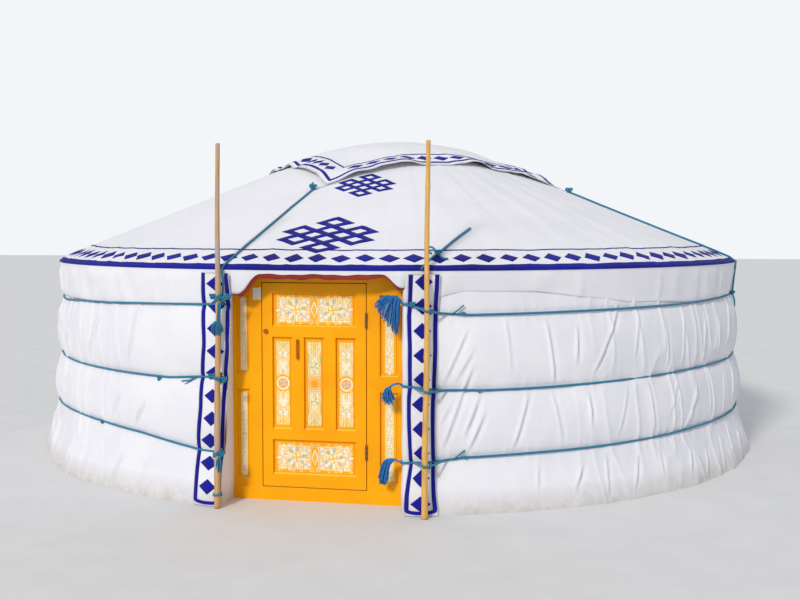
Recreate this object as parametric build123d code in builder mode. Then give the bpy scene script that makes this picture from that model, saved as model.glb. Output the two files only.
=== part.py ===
"""A yurt: lattice wall, roof poles and crown wheel under felt and canvas, with a panelled wooden door.

Millimetres, +Z up. The origin is the yurt's centre on the ground and the door faces -Y.
Angles round the yurt are measured from the door, positive towards +X.
"""

import os
from math import asin, atan2, ceil, cos, degrees, hypot, radians, sin, sqrt, tan

from build123d import *

os.makedirs("parts", exist_ok=True)

# Clearances and thicknesses of cloth
seat = 0.3                 # a soft piece lies this far off what carries it
door_gap = 6.0             # running gap round the door leaf
canvas = 6.0               # one layer of canvas
roof_cover = 35.0          # felt and canvas on the roof
flap_cover = 8.0           # the flap over the crown

# Outline of the covered yurt
eave_height = 1600.0
eave_radius = 2960.0
base_radius = 3080.0       # the skirt spreads at the ground
crown_edge_radius = 690.0
crown_edge_height = 2520.0
apex_height = 2640.0
wall_inner_radius = 2828.0
upper_rope_height = 1340.0
middle_rope_height = 830.0
lower_rope_height = 380.0
upper_rope_radius = 2912.0
middle_rope_radius = 2935.0
lower_rope_radius = 2968.0
swell = 34.0               # the canvas swells this far between two ropes

# Frame of the yurt
lattice_cells = 48
lattice_spans = 4          # cells that one slat crosses on its way up
lattice_sections = 6
lattice_panels = 24        # tied side by side, four in a section
slat_width = 34.0
slat_depth = 12.0
foot_height = 60.0         # the lowest crossing
head_length = 58.0         # slat ends above the top crossing
head_place = 0.75          # the heads stand this share of the way along each cell
roof_pole_width = 36.0
roof_pole_depth = 40.0
crown_width = 70.0
crown_depth = 85.0
crown_spokes = 8
cover_lap = 10.0           # the roof cover reaches this far over the crown's opening
spoke_width = 34.0
spoke_depth = 44.0
spoke_bend = 0.72          # share of its rise that a spoke has made halfway in
hub_radius = 95.0
hub_depth = 60.0
post_side = 80.0

# Door unit
frame_half = 617.0         # half of its width
frame_front = 2742.0       # its face lies this far in front of the centre
frame_depth = 90.0
threshold_height = 88.0
threshold_lip = 10.0
leaf_width = 724.0
leaf_height = 1392.0
leaf_depth = 45.0
leaf_shift = -19.0         # the leaf sits a little left of the middle
jamb_width = 88.0
outer_stile = 52.0
side_rail_height = 100.0
side_rail_level = 760.0
side_top_rail = 74.0
side_bottom_rail = 42.0
leaf_stile = 70.0
leaf_top_rail = 63.0
leaf_bottom_rail = 79.0
upper_panel_height = 235.0
lower_panel_height = 245.0
leaf_rail = 67.0
muntin = 82.0
middle_panels = 3
panel_board = 12.0
panel_field = 5.0          # the raised field of a panel
panel_bevel = 16.0
bevel_lean = 30.0
ledge_depth = 16.0
ledge_height = 14.0
hinge_radius = 8.0
hinge_height = 100.0
hinge_plate = 2.4
hinge_reach = 30.0
hinge_levels = (350.0, 1240.0)
handle_height = 130.0
handle_level = 1040.0
handle_radius = 7.0
latch_radius = 15.0
latch_margin = 12.0        # from the leaf's edge
latch_level = 1158.0

# Cloth at the door
left_cover_end = 592.0     # the covers end this far left and right of the middle
right_cover_end = 605.0
strip_width = 190.0
left_strip_edge = 590.0
right_strip_edge = 655.0
valance_hem = 1505.0       # over the door
scallop_hem = 1425.0
scallop_start = 450.0
valance_drop = 1318.0      # hem of the valance round the wall

# Ropes, standing poles and the crown's flap
rope = 13.0
left_rope_ends = ((-320.0, -1460.0), (-558.0, -2990.0))    # in plan, from the flap to the eave
right_rope_ends = ((957.0, -2135.0), (721.0, -2973.0))
rope_end_left = 560.0
rope_end_right = 565.0
pole_base_radius = 22.0
pole_top_radius = 15.0
left_pole = (-600.0, -640.0, 2418.0)     # foot and head sideways from the middle, and height
right_pole = (797.0, 776.0, 2421.0)
pole_foot_front = 3047.0
tie_wall = 12.0
tie_height = 34.0
round_sides = 8            # round wood and tassels have this many sides
flap_side = 2130.0
flap_turn = 34.5           # turn of the square against the door's axis
tassel_lengths = (190.0, 110.0, 165.0)
tassel_radii = (58.0, 34.0, 38.0)

# The roof's cone
roof_slope = (crown_edge_height - eave_height) / (eave_radius - crown_edge_radius)
roof_angle = atan2(roof_slope, 1.0)
cover_drop = roof_cover / cos(roof_angle)
pole_drop = roof_pole_depth / cos(roof_angle)


def roof_top(radius):
    """Height of the covered roof at a radius."""
    return eave_height + (eave_radius - radius) * roof_slope


def under_cover(radius):
    return roof_top(radius) - cover_drop - seat


def under_pole(radius):
    return under_cover(radius) - pole_drop


def door_angle(offset, radius):
    """Angle from the door's middle to a point that lies this far to its side, in degrees."""
    return degrees(asin(offset / radius))


def around(angle, radius, height=0.0):
    """A point by its angle from the door."""
    return Vector(radius * sin(radians(angle)), -radius * cos(radians(angle)), height)


def ring_segment(start, end, points):
    """Revolves an outline of radii and heights from one angle to another, counted from the door."""
    outward = around(start, 1)
    with BuildPart() as ring:
        with BuildSketch(Plane(origin=(0, 0, 0), x_dir=outward, z_dir=outward.cross(Vector(0, 0, 1)))):
            with BuildLine():
                Polyline(*points, close=True)
            make_face()
        revolve(axis=Axis.Z, revolution_arc=end - start)
    return ring.part


def save(part, name):
    part.label = name
    export_step(part, f"parts/{name}.step")
    print(f"{name}: {len(part.solids())} solids, {part.volume / 1e9:.4f} m3")


# Outline of the wall's cover: pulled in by the ropes, swollen between them
def wall_face():
    middle_swell = (middle_rope_radius + lower_rope_radius) / 2 + swell
    upper_swell = (upper_rope_radius + middle_rope_radius) / 2 + swell
    return [
        (base_radius, 0.0),
        (lower_rope_radius, lower_rope_height),
        (middle_swell, (lower_rope_height + middle_rope_height) / 2),
        (middle_rope_radius, middle_rope_height),
        (upper_swell, (middle_rope_height + upper_rope_height) / 2),
        (upper_rope_radius, upper_rope_height),
    ]


def wall_outline(shaved=0.0):
    """The cover's section; shaved leaves room for a layer that lies on it."""
    face = [(radius - shaved, height) for radius, height in wall_face()]
    top = upper_rope_radius - shaved
    return face + [
        (top, under_cover(top)),
        (wall_inner_radius, under_cover(wall_inner_radius)),
        (wall_inner_radius, 0.0),
    ]


def strip_outline():
    """The ornament strip lies in the face of the cover, from the ground to the valance."""
    face = [point for point in wall_face() if point[1] < valance_drop]
    top = radius_at(valance_drop - seat)
    outer = face + [(top, valance_drop - seat)]
    inner = [(radius - canvas, height) for radius, height in outer]
    return outer + inner[::-1]


def radius_at(height):
    """Outer radius of the wall's cover at a height."""
    face = wall_face()
    for (lower_radius, low), (upper_radius, high) in zip(face, face[1:]):
        if low <= height <= high:
            return lower_radius + (upper_radius - lower_radius) * (height - low) / (high - low)
    return upper_rope_radius


left_end = -door_angle(left_cover_end, wall_inner_radius)
right_end = door_angle(right_cover_end, wall_inner_radius)
left_strip = (-door_angle(left_strip_edge + strip_width, wall_inner_radius),
              -door_angle(left_strip_edge, wall_inner_radius))
right_strip = (door_angle(right_strip_edge, wall_inner_radius),
               door_angle(right_strip_edge + strip_width, wall_inner_radius))

# Wall cover: six segments from the right side of the door round to its left side
wall_segments = 6
wall_span = (360.0 + left_end - right_end) / wall_segments
return_depth = wall_inner_radius + canvas - frame_front


def jamb_return(side, cover_end):
    """The cover's end turned in against the face of the door frame."""
    reach = frame_half - cover_end
    foot = threshold_height + seat
    with BuildPart() as turned_in:
        with BuildSketch(Plane.XY.offset(foot)):
            with Locations((side * (cover_end + reach / 2), -frame_front - seat - return_depth / 2)):
                Rectangle(reach, return_depth)
        extrude(amount=valance_hem - foot)
    return turned_in.part


for index in range(wall_segments):
    start = right_end + index * wall_span
    end = start + wall_span
    with BuildPart() as wall_cover:
        if index == 0:
            add(ring_segment(start, right_strip[0], wall_outline()))
            add(ring_segment(right_strip[0], right_strip[1], wall_outline(canvas + seat)))
            add(ring_segment(right_strip[1], end, wall_outline()))
            add(jamb_return(1, right_cover_end))
        elif index == wall_segments - 1:
            add(ring_segment(start, 360 + left_strip[0], wall_outline()))
            add(ring_segment(360 + left_strip[0], end, wall_outline(canvas + seat)))
            add(jamb_return(-1, left_cover_end))
        else:
            add(ring_segment(start, end, wall_outline()))
    save(wall_cover.part, f"wall_cover_{index + 1}")

# Ornament strips beside the door
strip_side_gap = degrees(seat / wall_inner_radius)
for name, (start, end) in {"left_strip": left_strip, "right_strip": right_strip}.items():
    with BuildPart() as strip:
        add(ring_segment(start + strip_side_gap, end - strip_side_gap, strip_outline()))
    save(strip.part, name)

# Lattice: one column of crossing slats, repeated round the wall
lattice_outer = wall_inner_radius - seat
lattice_start = door_angle(frame_half + seat, lattice_outer)
cell_angle = (360.0 - 2 * lattice_start) / lattice_cells
lattice_face = lattice_outer * cos(radians(cell_angle / 2))
cell_width = 2 * lattice_outer * sin(radians(cell_angle / 2))


def head_crossing():
    """The top crossing, set so that a roof pole rests in the fork of the slat heads."""
    fork = (roof_pole_width / 2 + slat_width / 2 / cos(slat_lean)) / tan(slat_lean)
    return under_pole(lattice_outer) - fork - seat


# The slats' lean and the height of the top crossing depend on each other, so they are found in rounds
fork_rounds = 20
slat_lean = radians(45)
for _ in range(fork_rounds):
    slat_rise = (head_crossing() - foot_height) / lattice_spans
    slat_lean = atan2(cell_width, slat_rise)
top_crossing = head_crossing()
slat_rise = (top_crossing - foot_height) / lattice_spans
lattice_top = top_crossing + head_length


def slat_lines(rising):
    """The slats that cross one column, each as its height at the column's left and right edge."""
    offset = slat_rise * (1 - head_place)
    for step in range(-1, lattice_spans + 1):
        left = foot_height + step * slat_rise + offset
        right = left + slat_rise
        yield (left, right) if rising else (top_crossing + foot_height - left,
                                            top_crossing + foot_height - right)


def slat_column(rising, face_distance):
    """One layer of slats in the flat field between two fold lines of the lattice."""
    reach = slat_width / 2 / sin(slat_lean)
    half = cell_width / 2
    layer_half = half * face_distance / lattice_face
    with BuildPart() as column:
        with BuildSketch(Plane(origin=(0, -face_distance, 0), x_dir=(1, 0, 0), z_dir=(0, -1, 0))):
            for left, right in slat_lines(rising):
                with BuildLine():
                    Polyline((-half, left - reach), (half, right - reach),
                             (half, right + reach), (-half, left + reach), close=True)
                make_face()
            with Locations((0, lattice_top / 2)):
                Rectangle(2 * layer_half, lattice_top, mode=Mode.INTERSECT)
        extrude(amount=-slat_depth)
        for side in (-1, 1):
            edge = Plane(origin=(0, 0, 0), x_dir=(0, 0, 1),
                         z_dir=(side * cos(radians(cell_angle / 2)), sin(radians(cell_angle / 2)), 0))
            split(bisect_by=edge, keep=Keep.BOTTOM)
    return column.part


with BuildPart() as lattice_column:
    add(slat_column(True, lattice_face))
    add(slat_column(False, lattice_face - slat_depth))

# The door unit stands in the lattice's opening
with BuildPart() as door_unit_space:
    with BuildSketch(Plane.XY):
        with Locations((0, -lattice_outer)):
            Rectangle(2 * (frame_half + seat), 2 * (lattice_outer - frame_front + frame_depth))
    extrude(amount=lattice_top)

# Narrow gaps where neighbouring panels of the lattice are tied
with BuildPart() as tie_gaps:
    with BuildSketch(Plane.XY):
        with PolarLocations(lattice_outer, lattice_panels + 1, lattice_start - 90, 360 - 2 * lattice_start,
                            endpoint=True):
            Rectangle(slat_width * 2, seat)
    extrude(amount=lattice_top)

cells_in_section = lattice_cells // lattice_sections
for index in range(lattice_sections):
    with BuildPart() as lattice:
        cells = range(index * cells_in_section, (index + 1) * cells_in_section)
        for cell in cells:
            add(lattice_column.part.rotate(Axis.Z, lattice_start + (cell + 0.5) * cell_angle))
        add(tie_gaps.part, mode=Mode.SUBTRACT)
        if index in (0, lattice_sections - 1):
            add(door_unit_space.part, mode=Mode.SUBTRACT)
    save(lattice.part, f"lattice_{index + 1}")

# Roof poles: from the heads of the lattice and the door's lintel to the crown
poles_over_door = 3
door_pole_angle = 2 * lattice_start / (poles_over_door + 1)
pole_angles = [lattice_start + (cell + head_place) * cell_angle for cell in range(lattice_cells)]
pole_angles += [(step - 2) * door_pole_angle for step in range(1, poles_over_door + 1)]
crown_joint = crown_edge_radius + seat


def roof_pole(angle):
    outer_end = wall_inner_radius - 2 * seat
    with BuildPart() as pole:
        with BuildSketch(Plane.YZ.offset(-roof_pole_width / 2)):
            with BuildLine():
                Polyline((-outer_end, under_cover(outer_end)), (-crown_joint, under_cover(crown_joint)),
                         (-crown_joint, under_pole(crown_joint)), (-outer_end, under_pole(outer_end)),
                         close=True)
            make_face()
        extrude(amount=roof_pole_width)
    return pole.part.rotate(Axis.Z, angle)


pole_groups = 4
for group in range(pole_groups):
    with BuildPart() as roof_poles:
        for angle in pole_angles:
            if int(angle % 360 // (360 / pole_groups)) == group:
                add(roof_pole(angle))
    save(roof_poles.part, f"roof_poles_{group + 1}")

# Crown: a wheel with bent spokes that rise to a hub
crown_top = under_cover(crown_edge_radius) - seat
crown_inner = crown_edge_radius - crown_width
roof_opening = crown_inner - cover_lap
flap_lift = seat / cos(roof_angle)
flap_drop = flap_cover / cos(roof_angle)


def under_flap(radius):
    """Underside of the flap: a shallow point over the crown, then the roof's cone."""
    if radius > roof_opening:
        return roof_top(radius) + flap_lift
    rim = roof_top(roof_opening) + flap_lift
    return rim + (apex_height - flap_drop - rim) * (1 - radius / roof_opening)


hub_top = under_flap(hub_radius) - seat
with BuildPart() as crown_rim:
    with BuildSketch(Plane.XY.offset(crown_top - crown_depth)):
        Circle(crown_edge_radius)
        Circle(crown_inner, mode=Mode.SUBTRACT)
    extrude(amount=crown_depth)
save(crown_rim.part, "crown_rim")

with BuildPart() as crown_spoke:
    low = crown_top - crown_depth / 2 - spoke_depth / 2
    rise = hub_top - hub_depth / 2 - spoke_depth / 2 - low
    with BuildSketch(Plane.XZ.offset(-spoke_width / 2)):
        with BuildLine():
            outer = (crown_inner - seat, low)
            inner = (hub_radius / 2, low + rise)
            middle = ((outer[0] + inner[0]) / 2, low + rise * spoke_bend)
            lower = ThreePointArc(outer, middle, inner)
            upper = ThreePointArc(*[(x, z + spoke_depth) for x, z in (outer, middle, inner)])
            Line(lower @ 0, upper @ 0)
            Line(lower @ 1, upper @ 1)
        make_face()
    extrude(amount=spoke_width)
with BuildPart() as crown_wheel:
    with BuildSketch(Plane.XY.offset(hub_top - hub_depth)):
        Circle(hub_radius)
    extrude(amount=hub_depth)
    for spoke in range(crown_spokes):
        add(crown_spoke.part.rotate(Axis.Z, spoke * 360 / crown_spokes))
save(crown_wheel.part, "crown_spokes")

post_height = crown_top - crown_depth
for name, side in {"left_post": -1, "right_post": 1}.items():
    with BuildPart() as post:
        with BuildSketch(Plane.XY):
            with Locations((side * (crown_inner + crown_width / 2), 0)):
                RegularPolygon(post_side / 2, round_sides, major_radius=False)
        extrude(amount=post_height)
    save(post.part, name)


# Roof cover: six wedges with a hanging valance, the front one cut out for the door
def roof_outline(inner_radius):
    tied = upper_rope_radius + seat
    hem = radius_at(valance_drop) + seat
    return [
        (inner_radius, roof_top(inner_radius)),
        (eave_radius, eave_height),
        (tied + canvas, upper_rope_height),
        (hem + canvas, valance_drop),
        (hem, valance_drop),
        (tied, upper_rope_height),
        (tied, roof_top(tied) - cover_drop),
        (inner_radius, roof_top(inner_radius) - cover_drop),
    ]


def valance_at(height):
    """Outer radius of the hanging valance above and below the rope that ties it."""
    tied = upper_rope_radius + seat + canvas
    if height < upper_rope_height:
        return max(tied, radius_at(height) + seat + canvas)
    return tied + (eave_radius - tied) * (height - upper_rope_height) / (eave_height - upper_rope_height)


roof_wedges = 6
wedge = 360.0 / roof_wedges
for index in range(roof_wedges):
    start = -wedge / 2 + index * wedge
    with BuildPart() as roof:
        add(ring_segment(start, start + wedge, roof_outline(roof_opening)))
        if index == 0:
            with BuildSketch(Plane.XZ.offset(frame_front)):
                with BuildLine():
                    Polyline((-left_cover_end, 0), (-left_cover_end, scallop_hem),
                             (-scallop_start, valance_hem), (scallop_start, valance_hem),
                             (right_cover_end, scallop_hem), (right_cover_end, 0), close=True)
                make_face()
            extrude(amount=base_radius - frame_front, mode=Mode.SUBTRACT)
    save(roof.part, "front_roof_cover" if index == 0 else f"roof_cover_{index}")

# Flap over the crown: a square cloth laid on the cone and the crown's dome
flap_reach = flap_side / sqrt(2) + canvas
flap_line = [(radius, under_flap(radius)) for radius in (0, roof_opening, flap_reach)]
with BuildPart() as crown_flap:
    with BuildSketch(Plane.XZ):
        with BuildLine():
            Polyline(*flap_line, *[(radius, height + flap_drop) for radius, height in flap_line[::-1]],
                     close=True)
        make_face()
    revolve(axis=Axis.Z)
    with BuildSketch(Plane.XY.rotated((0, 0, flap_turn))):
        Rectangle(flap_side, flap_side)
    extrude(amount=apex_height, mode=Mode.INTERSECT)
save(crown_flap.part, "crown_flap")

# Roof ropes: from the flap's corners and the front slit down over the eave to the upper girth rope
corner_reach = flap_side / sqrt(2)
corner_angles = [flap_turn - 45 + quarter * 90 for quarter in range(4)]
rope_foot = upper_rope_height + rope / 2 + seat
foot_radius = valance_at(rope_foot) + seat
rope_shell = [
    (corner_reach + canvas, roof_top(corner_reach + canvas) + seat),
    (corner_reach + canvas, roof_top(corner_reach + canvas) + seat + rope),
    (eave_radius + seat, eave_height + seat + rope),
    (eave_radius + seat + rope, eave_height),
    (foot_radius + rope, rope_foot),
    (foot_radius, rope_foot),
    (eave_radius + seat, eave_height + seat),
]
roof_rope_lines = [left_rope_ends, right_rope_ends]
for corner in corner_angles[1:]:
    upper_end = around(corner, corner_reach)
    lower_end = around(corner, base_radius)
    roof_rope_lines.append(((upper_end.X, upper_end.Y), (lower_end.X, lower_end.Y)))

with BuildPart() as rope_slabs:
    for (x0, y0), (x1, y1) in roof_rope_lines:
        lie = Plane(origin=((x0 + x1) / 2, (y0 + y1) / 2, 0), x_dir=(x1 - x0, y1 - y0, 0), z_dir=(0, 0, 1))
        with BuildSketch(lie):
            Rectangle(hypot(x1 - x0, y1 - y0), rope)
        extrude(amount=crown_edge_height)
with BuildPart() as roof_ropes:
    add(ring_segment(0, 360, rope_shell))
    add(rope_slabs.part, mode=Mode.INTERSECT)
save(roof_ropes.part, "roof_ropes")


# Girth ropes: drawn round the wall from one side of the door to the other
def rope_bed(level, face_at):
    """Radius of a rope's bends, so that the middle of each straight run lies on the cloth."""
    widest = max(face_at(level - rope / 2), face_at(level + rope / 2))
    return (widest + seat) / cos(radians(cell_angle / 2))


def girth_rope(level, inner):
    start = door_angle(rope_end_right, inner)
    end = 360.0 - door_angle(rope_end_left, inner)
    runs = ceil((end - start) / cell_angle)
    bends = [start + (end - start) * step / runs for step in range(runs + 1)]
    inside = [around(bend, inner) for bend in bends]
    outside = [around(bend, inner + rope) for bend in bends]
    with BuildPart() as line:
        with BuildSketch(Plane.XY.offset(level - rope / 2)):
            with BuildLine():
                Polyline(*[(point.X, point.Y) for point in inside + outside[::-1]], close=True)
            make_face()
        extrude(amount=rope)
    return line.part


rope_levels = {
    "upper_girth_rope": (upper_rope_height, rope_bed(upper_rope_height, valance_at)),
    "middle_girth_rope": (middle_rope_height, rope_bed(middle_rope_height, radius_at)),
    "lower_girth_rope": (lower_rope_height, rope_bed(lower_rope_height, radius_at)),
}
for name, (level, inner) in rope_levels.items():
    save(girth_rope(level, inner), name)

# Tassels: tufts at the ropes' right ends, in front of the right side bay
with BuildPart() as tassels:
    for (level, inner), length, spread in zip(rope_levels.values(), tassel_lengths, tassel_radii):
        end = around(door_angle(rope_end_right, inner), inner)
        top = level - rope / 2
        with BuildSketch(Plane((end.X, end.Y - rope / 2, top), z_dir=(0, 0, -1))):
            RegularPolygon(rope, round_sides)
        with BuildSketch(Plane((end.X - spread / 2, end.Y - rope / 2, top - length), z_dir=(0, 0, -1))):
            RegularPolygon(spread, round_sides)
        loft()
save(tassels.part, "rope_tassels")


# Standing poles, leaning in against the eave, and their rope ties
def pole_axis(pole, level):
    """Where a pole's axis passes a level: how far sideways, and how far in front of the centre."""
    foot, head, height = pole
    lean = (head - foot) / height
    at_eave = sqrt(eave_radius ** 2 - (foot + lean * eave_height) ** 2) + pole_base_radius + rope
    return foot + lean * level, pole_foot_front + (at_eave - pole_foot_front) * level / eave_height


def standing_pole(pole, room=0.0):
    """A tapered pole, or with room the hole that it passes through."""
    with BuildPart() as wood:
        for level, radius in ((0, pole_base_radius), (pole[2], pole_top_radius)):
            beside, front = pole_axis(pole, level)
            with BuildSketch(Plane((beside, -front, level))):
                RegularPolygon(radius + room, round_sides)
        loft()
    return wood.part


def pole_tie(pole, level, inner):
    """Turns of rope round the pole that also clasp the girth rope behind it."""
    beside, front = pole_axis(pole, level)
    behind = sqrt((inner + rope / 2) ** 2 - beside ** 2)
    hold = pole_base_radius + tie_wall
    with BuildPart() as tie:
        with BuildSketch(Plane.XY.offset(level - tie_height / 2)):
            with Locations((beside, -front)):
                Circle(hold)
            with Locations((beside, -(front + behind) / 2)):
                Rectangle(2 * rope, front - behind)
        extrude(amount=tie_height)
        add(standing_pole(pole, seat), mode=Mode.SUBTRACT)
        add(girth_rope(level, inner), mode=Mode.SUBTRACT)
    return tie.part


for name, pole in {"left_pole": left_pole, "right_pole": right_pole}.items():
    save(standing_pole(pole), name)
    with BuildPart() as ties:
        for level, inner in rope_levels.values():
            add(pole_tie(pole, level, inner))
    save(ties.part, f"{name}_ties")

# Door unit
opening_half = leaf_width / 2 + door_gap
leaf_bottom = threshold_height + door_gap
leaf_top = leaf_bottom + leaf_height
head_level = leaf_top + door_gap
lintel_reach = frame_front * tan(radians(door_pole_angle)) + roof_pole_width
frame_top = under_pole(hypot(frame_front, lintel_reach)) - seat
leaf_left = leaf_shift - leaf_width / 2
leaf_right = leaf_shift + leaf_width / 2


def board(left, right, bottom, top, front, depth):
    """An upright board by its edges, with its face this far in front of the centre."""
    with BuildPart() as piece:
        with BuildSketch(Plane.XZ.offset(front - depth)):
            with Locations(((left + right) / 2, (bottom + top) / 2)):
                Rectangle(right - left, top - bottom)
        extrude(amount=depth)
    return piece.part


def raised_panel(left, right, bottom, top, front):
    """A board with a bevelled raised field, loose in its frame."""
    with BuildPart() as panel:
        add(board(left + seat, right - seat, bottom + seat, top - seat, front, panel_board))
        with BuildSketch(Plane.XZ.offset(front)):
            with Locations(((left + right) / 2, (bottom + top) / 2)):
                Rectangle(right - left - 2 * panel_bevel, top - bottom - 2 * panel_bevel)
        extrude(amount=panel_field, taper=bevel_lean)
    return panel.part


def ledge(left, right, bottom, front):
    """A sloping sill along the foot of a recess."""
    with BuildPart() as sill:
        with BuildSketch(Plane.YZ.offset(left)):
            with BuildLine():
                Polyline((-front, bottom), (-front, bottom + ledge_height / 2),
                         (-front + ledge_depth, bottom + ledge_height), (-front + ledge_depth, bottom),
                         close=True)
            make_face()
        extrude(amount=right - left)
    return sill.part


side_bays = {
    "left": (-frame_half + outer_stile, leaf_shift - opening_half - jamb_width),
    "right": (leaf_shift + opening_half + jamb_width, frame_half - outer_stile),
}
side_fields = (
    (threshold_height + side_bottom_rail, side_rail_level),
    (side_rail_level + side_rail_height, leaf_top - side_top_rail),
)
with BuildPart() as door_frame:
    add(board(-frame_half, frame_half, threshold_height, frame_top, frame_front, frame_depth))
    add(board(leaf_shift - opening_half, leaf_shift + opening_half, threshold_height, head_level,
              frame_front, frame_depth), mode=Mode.SUBTRACT)
    for left, right in side_bays.values():
        for bottom, top in side_fields:
            add(board(left, right, bottom, top, frame_front, frame_depth), mode=Mode.SUBTRACT)
            add(ledge(left, right, bottom, frame_front - canvas))
save(door_frame.part, "door_frame")

with BuildPart() as threshold:
    add(board(-frame_half, frame_half, 0, threshold_height, frame_front + threshold_lip,
              frame_depth + threshold_lip))
save(threshold.part, "threshold")

panel_front = frame_front - ledge_depth - canvas - seat
for side, (left, right) in side_bays.items():
    with BuildPart() as side_panels:
        for bottom, top in side_fields:
            add(raised_panel(left, right, bottom, top, panel_front))
    save(side_panels.part, f"{side}_side_panels")

# Door leaf: stiles and rails round five panels
leaf_fields = []
field_left = leaf_left + leaf_stile
field_right = leaf_right - leaf_stile
upper_bottom = leaf_top - leaf_top_rail - upper_panel_height
lower_bottom = leaf_bottom + leaf_bottom_rail
middle_bottom = lower_bottom + lower_panel_height + leaf_rail
middle_top = upper_bottom - leaf_rail
middle_width = (field_right - field_left - (middle_panels - 1) * muntin) / middle_panels
leaf_fields.append((field_left, field_right, upper_bottom, upper_bottom + upper_panel_height))
leaf_fields.append((field_left, field_right, lower_bottom, lower_bottom + lower_panel_height))
for column in range(middle_panels):
    left = field_left + column * (middle_width + muntin)
    leaf_fields.append((left, left + middle_width, middle_bottom, middle_top))

with BuildPart() as door_leaf:
    add(board(leaf_left, leaf_right, leaf_bottom, leaf_top, frame_front, leaf_depth))
    for left, right, bottom, top in leaf_fields:
        add(board(left, right, bottom, top, frame_front, leaf_depth), mode=Mode.SUBTRACT)
        add(ledge(left, right, bottom, frame_front - canvas))
save(door_leaf.part, "door_leaf")

with BuildPart() as door_panels:
    for left, right, bottom, top in leaf_fields:
        add(raised_panel(left, right, bottom, top, panel_front))
save(door_panels.part, "door_panels")

# Hinges: a knuckle in two halves in front of the gap, each with its plate
hinge_x = leaf_right + door_gap / 2
hinge_front = frame_front + hinge_radius + seat


def hinge_half(level, side, bottom, top):
    with BuildPart() as half:
        with BuildSketch(Plane.XY.offset(level + bottom)):
            with Locations((hinge_x, -hinge_front)):
                Circle(hinge_radius)
            with Locations((hinge_x + side * hinge_reach / 2, -frame_front - seat - hinge_plate / 2)):
                Rectangle(hinge_reach, hinge_plate)
        extrude(amount=top - bottom)
    return half.part


half_height = hinge_height / 2
with BuildPart() as frame_hinges:
    for level in hinge_levels:
        add(hinge_half(level, 1, -half_height, -seat))
save(frame_hinges.part, "frame_hinges")
with BuildPart() as leaf_hinges:
    for level in hinge_levels:
        add(hinge_half(level, -1, seat, half_height))
save(leaf_hinges.part, "leaf_hinges")

# Pull handle on the first muntin and a turning latch at the leaf's edge
handle_x = field_left + middle_width + muntin / 2
handle_stand = 3 * handle_radius
with BuildPart() as door_handle:
    with BuildSketch(Plane.XZ.offset(frame_front + handle_stand - handle_radius)):
        with Locations((handle_x, handle_level)):
            Rectangle(2 * handle_radius, handle_height)
    extrude(amount=handle_radius)
    with BuildSketch(Plane.XZ.offset(frame_front)):
        with Locations((handle_x, handle_level - handle_height / 2 + handle_radius),
                       (handle_x, handle_level + handle_height / 2 - handle_radius)):
            Rectangle(2 * handle_radius, 2 * handle_radius)
    extrude(amount=handle_stand)
save(door_handle.part, "door_handle")

with BuildPart() as door_latch:
    with BuildSketch(Plane.XZ.offset(frame_front)):
        with Locations((leaf_left + latch_radius + latch_margin, latch_level)):
            Circle(latch_radius)
    extrude(amount=latch_radius)
save(door_latch.part, "door_latch")

print(f"hinge axis x {hinge_x:.1f} y {-hinge_front:.1f}")
print(f"leaf top {leaf_top:.1f}, head {head_level:.1f}, frame top {frame_top:.1f}")
print(f"top crossing {top_crossing:.1f}, cell {cell_width:.1f} x {slat_rise:.1f}, lean {degrees(slat_lean):.1f}")
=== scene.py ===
"""The yurt's looks: canvas with its folds and ornament, ropes, tassels, poles and the painted door.

Metres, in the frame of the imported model: the door faces -Y. Angles are counted from the door towards +X.
"""

import math
import random

import bmesh
import bpy
import numpy as np
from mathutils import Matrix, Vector


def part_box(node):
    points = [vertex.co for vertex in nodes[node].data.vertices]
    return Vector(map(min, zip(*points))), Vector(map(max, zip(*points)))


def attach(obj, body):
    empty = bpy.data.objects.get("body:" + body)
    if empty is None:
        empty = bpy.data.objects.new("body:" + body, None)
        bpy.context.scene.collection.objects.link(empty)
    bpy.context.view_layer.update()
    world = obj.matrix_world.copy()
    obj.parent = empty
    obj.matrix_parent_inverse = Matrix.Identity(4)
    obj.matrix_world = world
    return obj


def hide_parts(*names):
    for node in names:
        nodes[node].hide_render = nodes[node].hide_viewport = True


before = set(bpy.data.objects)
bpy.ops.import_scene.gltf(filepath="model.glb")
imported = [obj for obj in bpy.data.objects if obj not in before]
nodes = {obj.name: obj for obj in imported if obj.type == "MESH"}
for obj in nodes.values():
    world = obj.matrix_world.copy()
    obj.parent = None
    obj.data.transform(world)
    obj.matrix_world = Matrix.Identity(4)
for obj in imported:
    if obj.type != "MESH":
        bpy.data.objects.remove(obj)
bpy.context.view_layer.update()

TAU = 2 * math.pi


# Facts of the frame

def node_points(name):
    mesh = nodes[name].data
    points = np.zeros(len(mesh.vertices) * 3)
    mesh.vertices.foreach_get("co", points)
    return points.reshape(-1, 3)


def node_radii(name):
    """Least and greatest distance of a node from the yurt's axis."""
    radii = np.hypot(*node_points(name).T[:2])
    return radii.min(), radii.max()


def node_levels(name):
    low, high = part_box(name)
    return low.z, high.z


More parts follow.
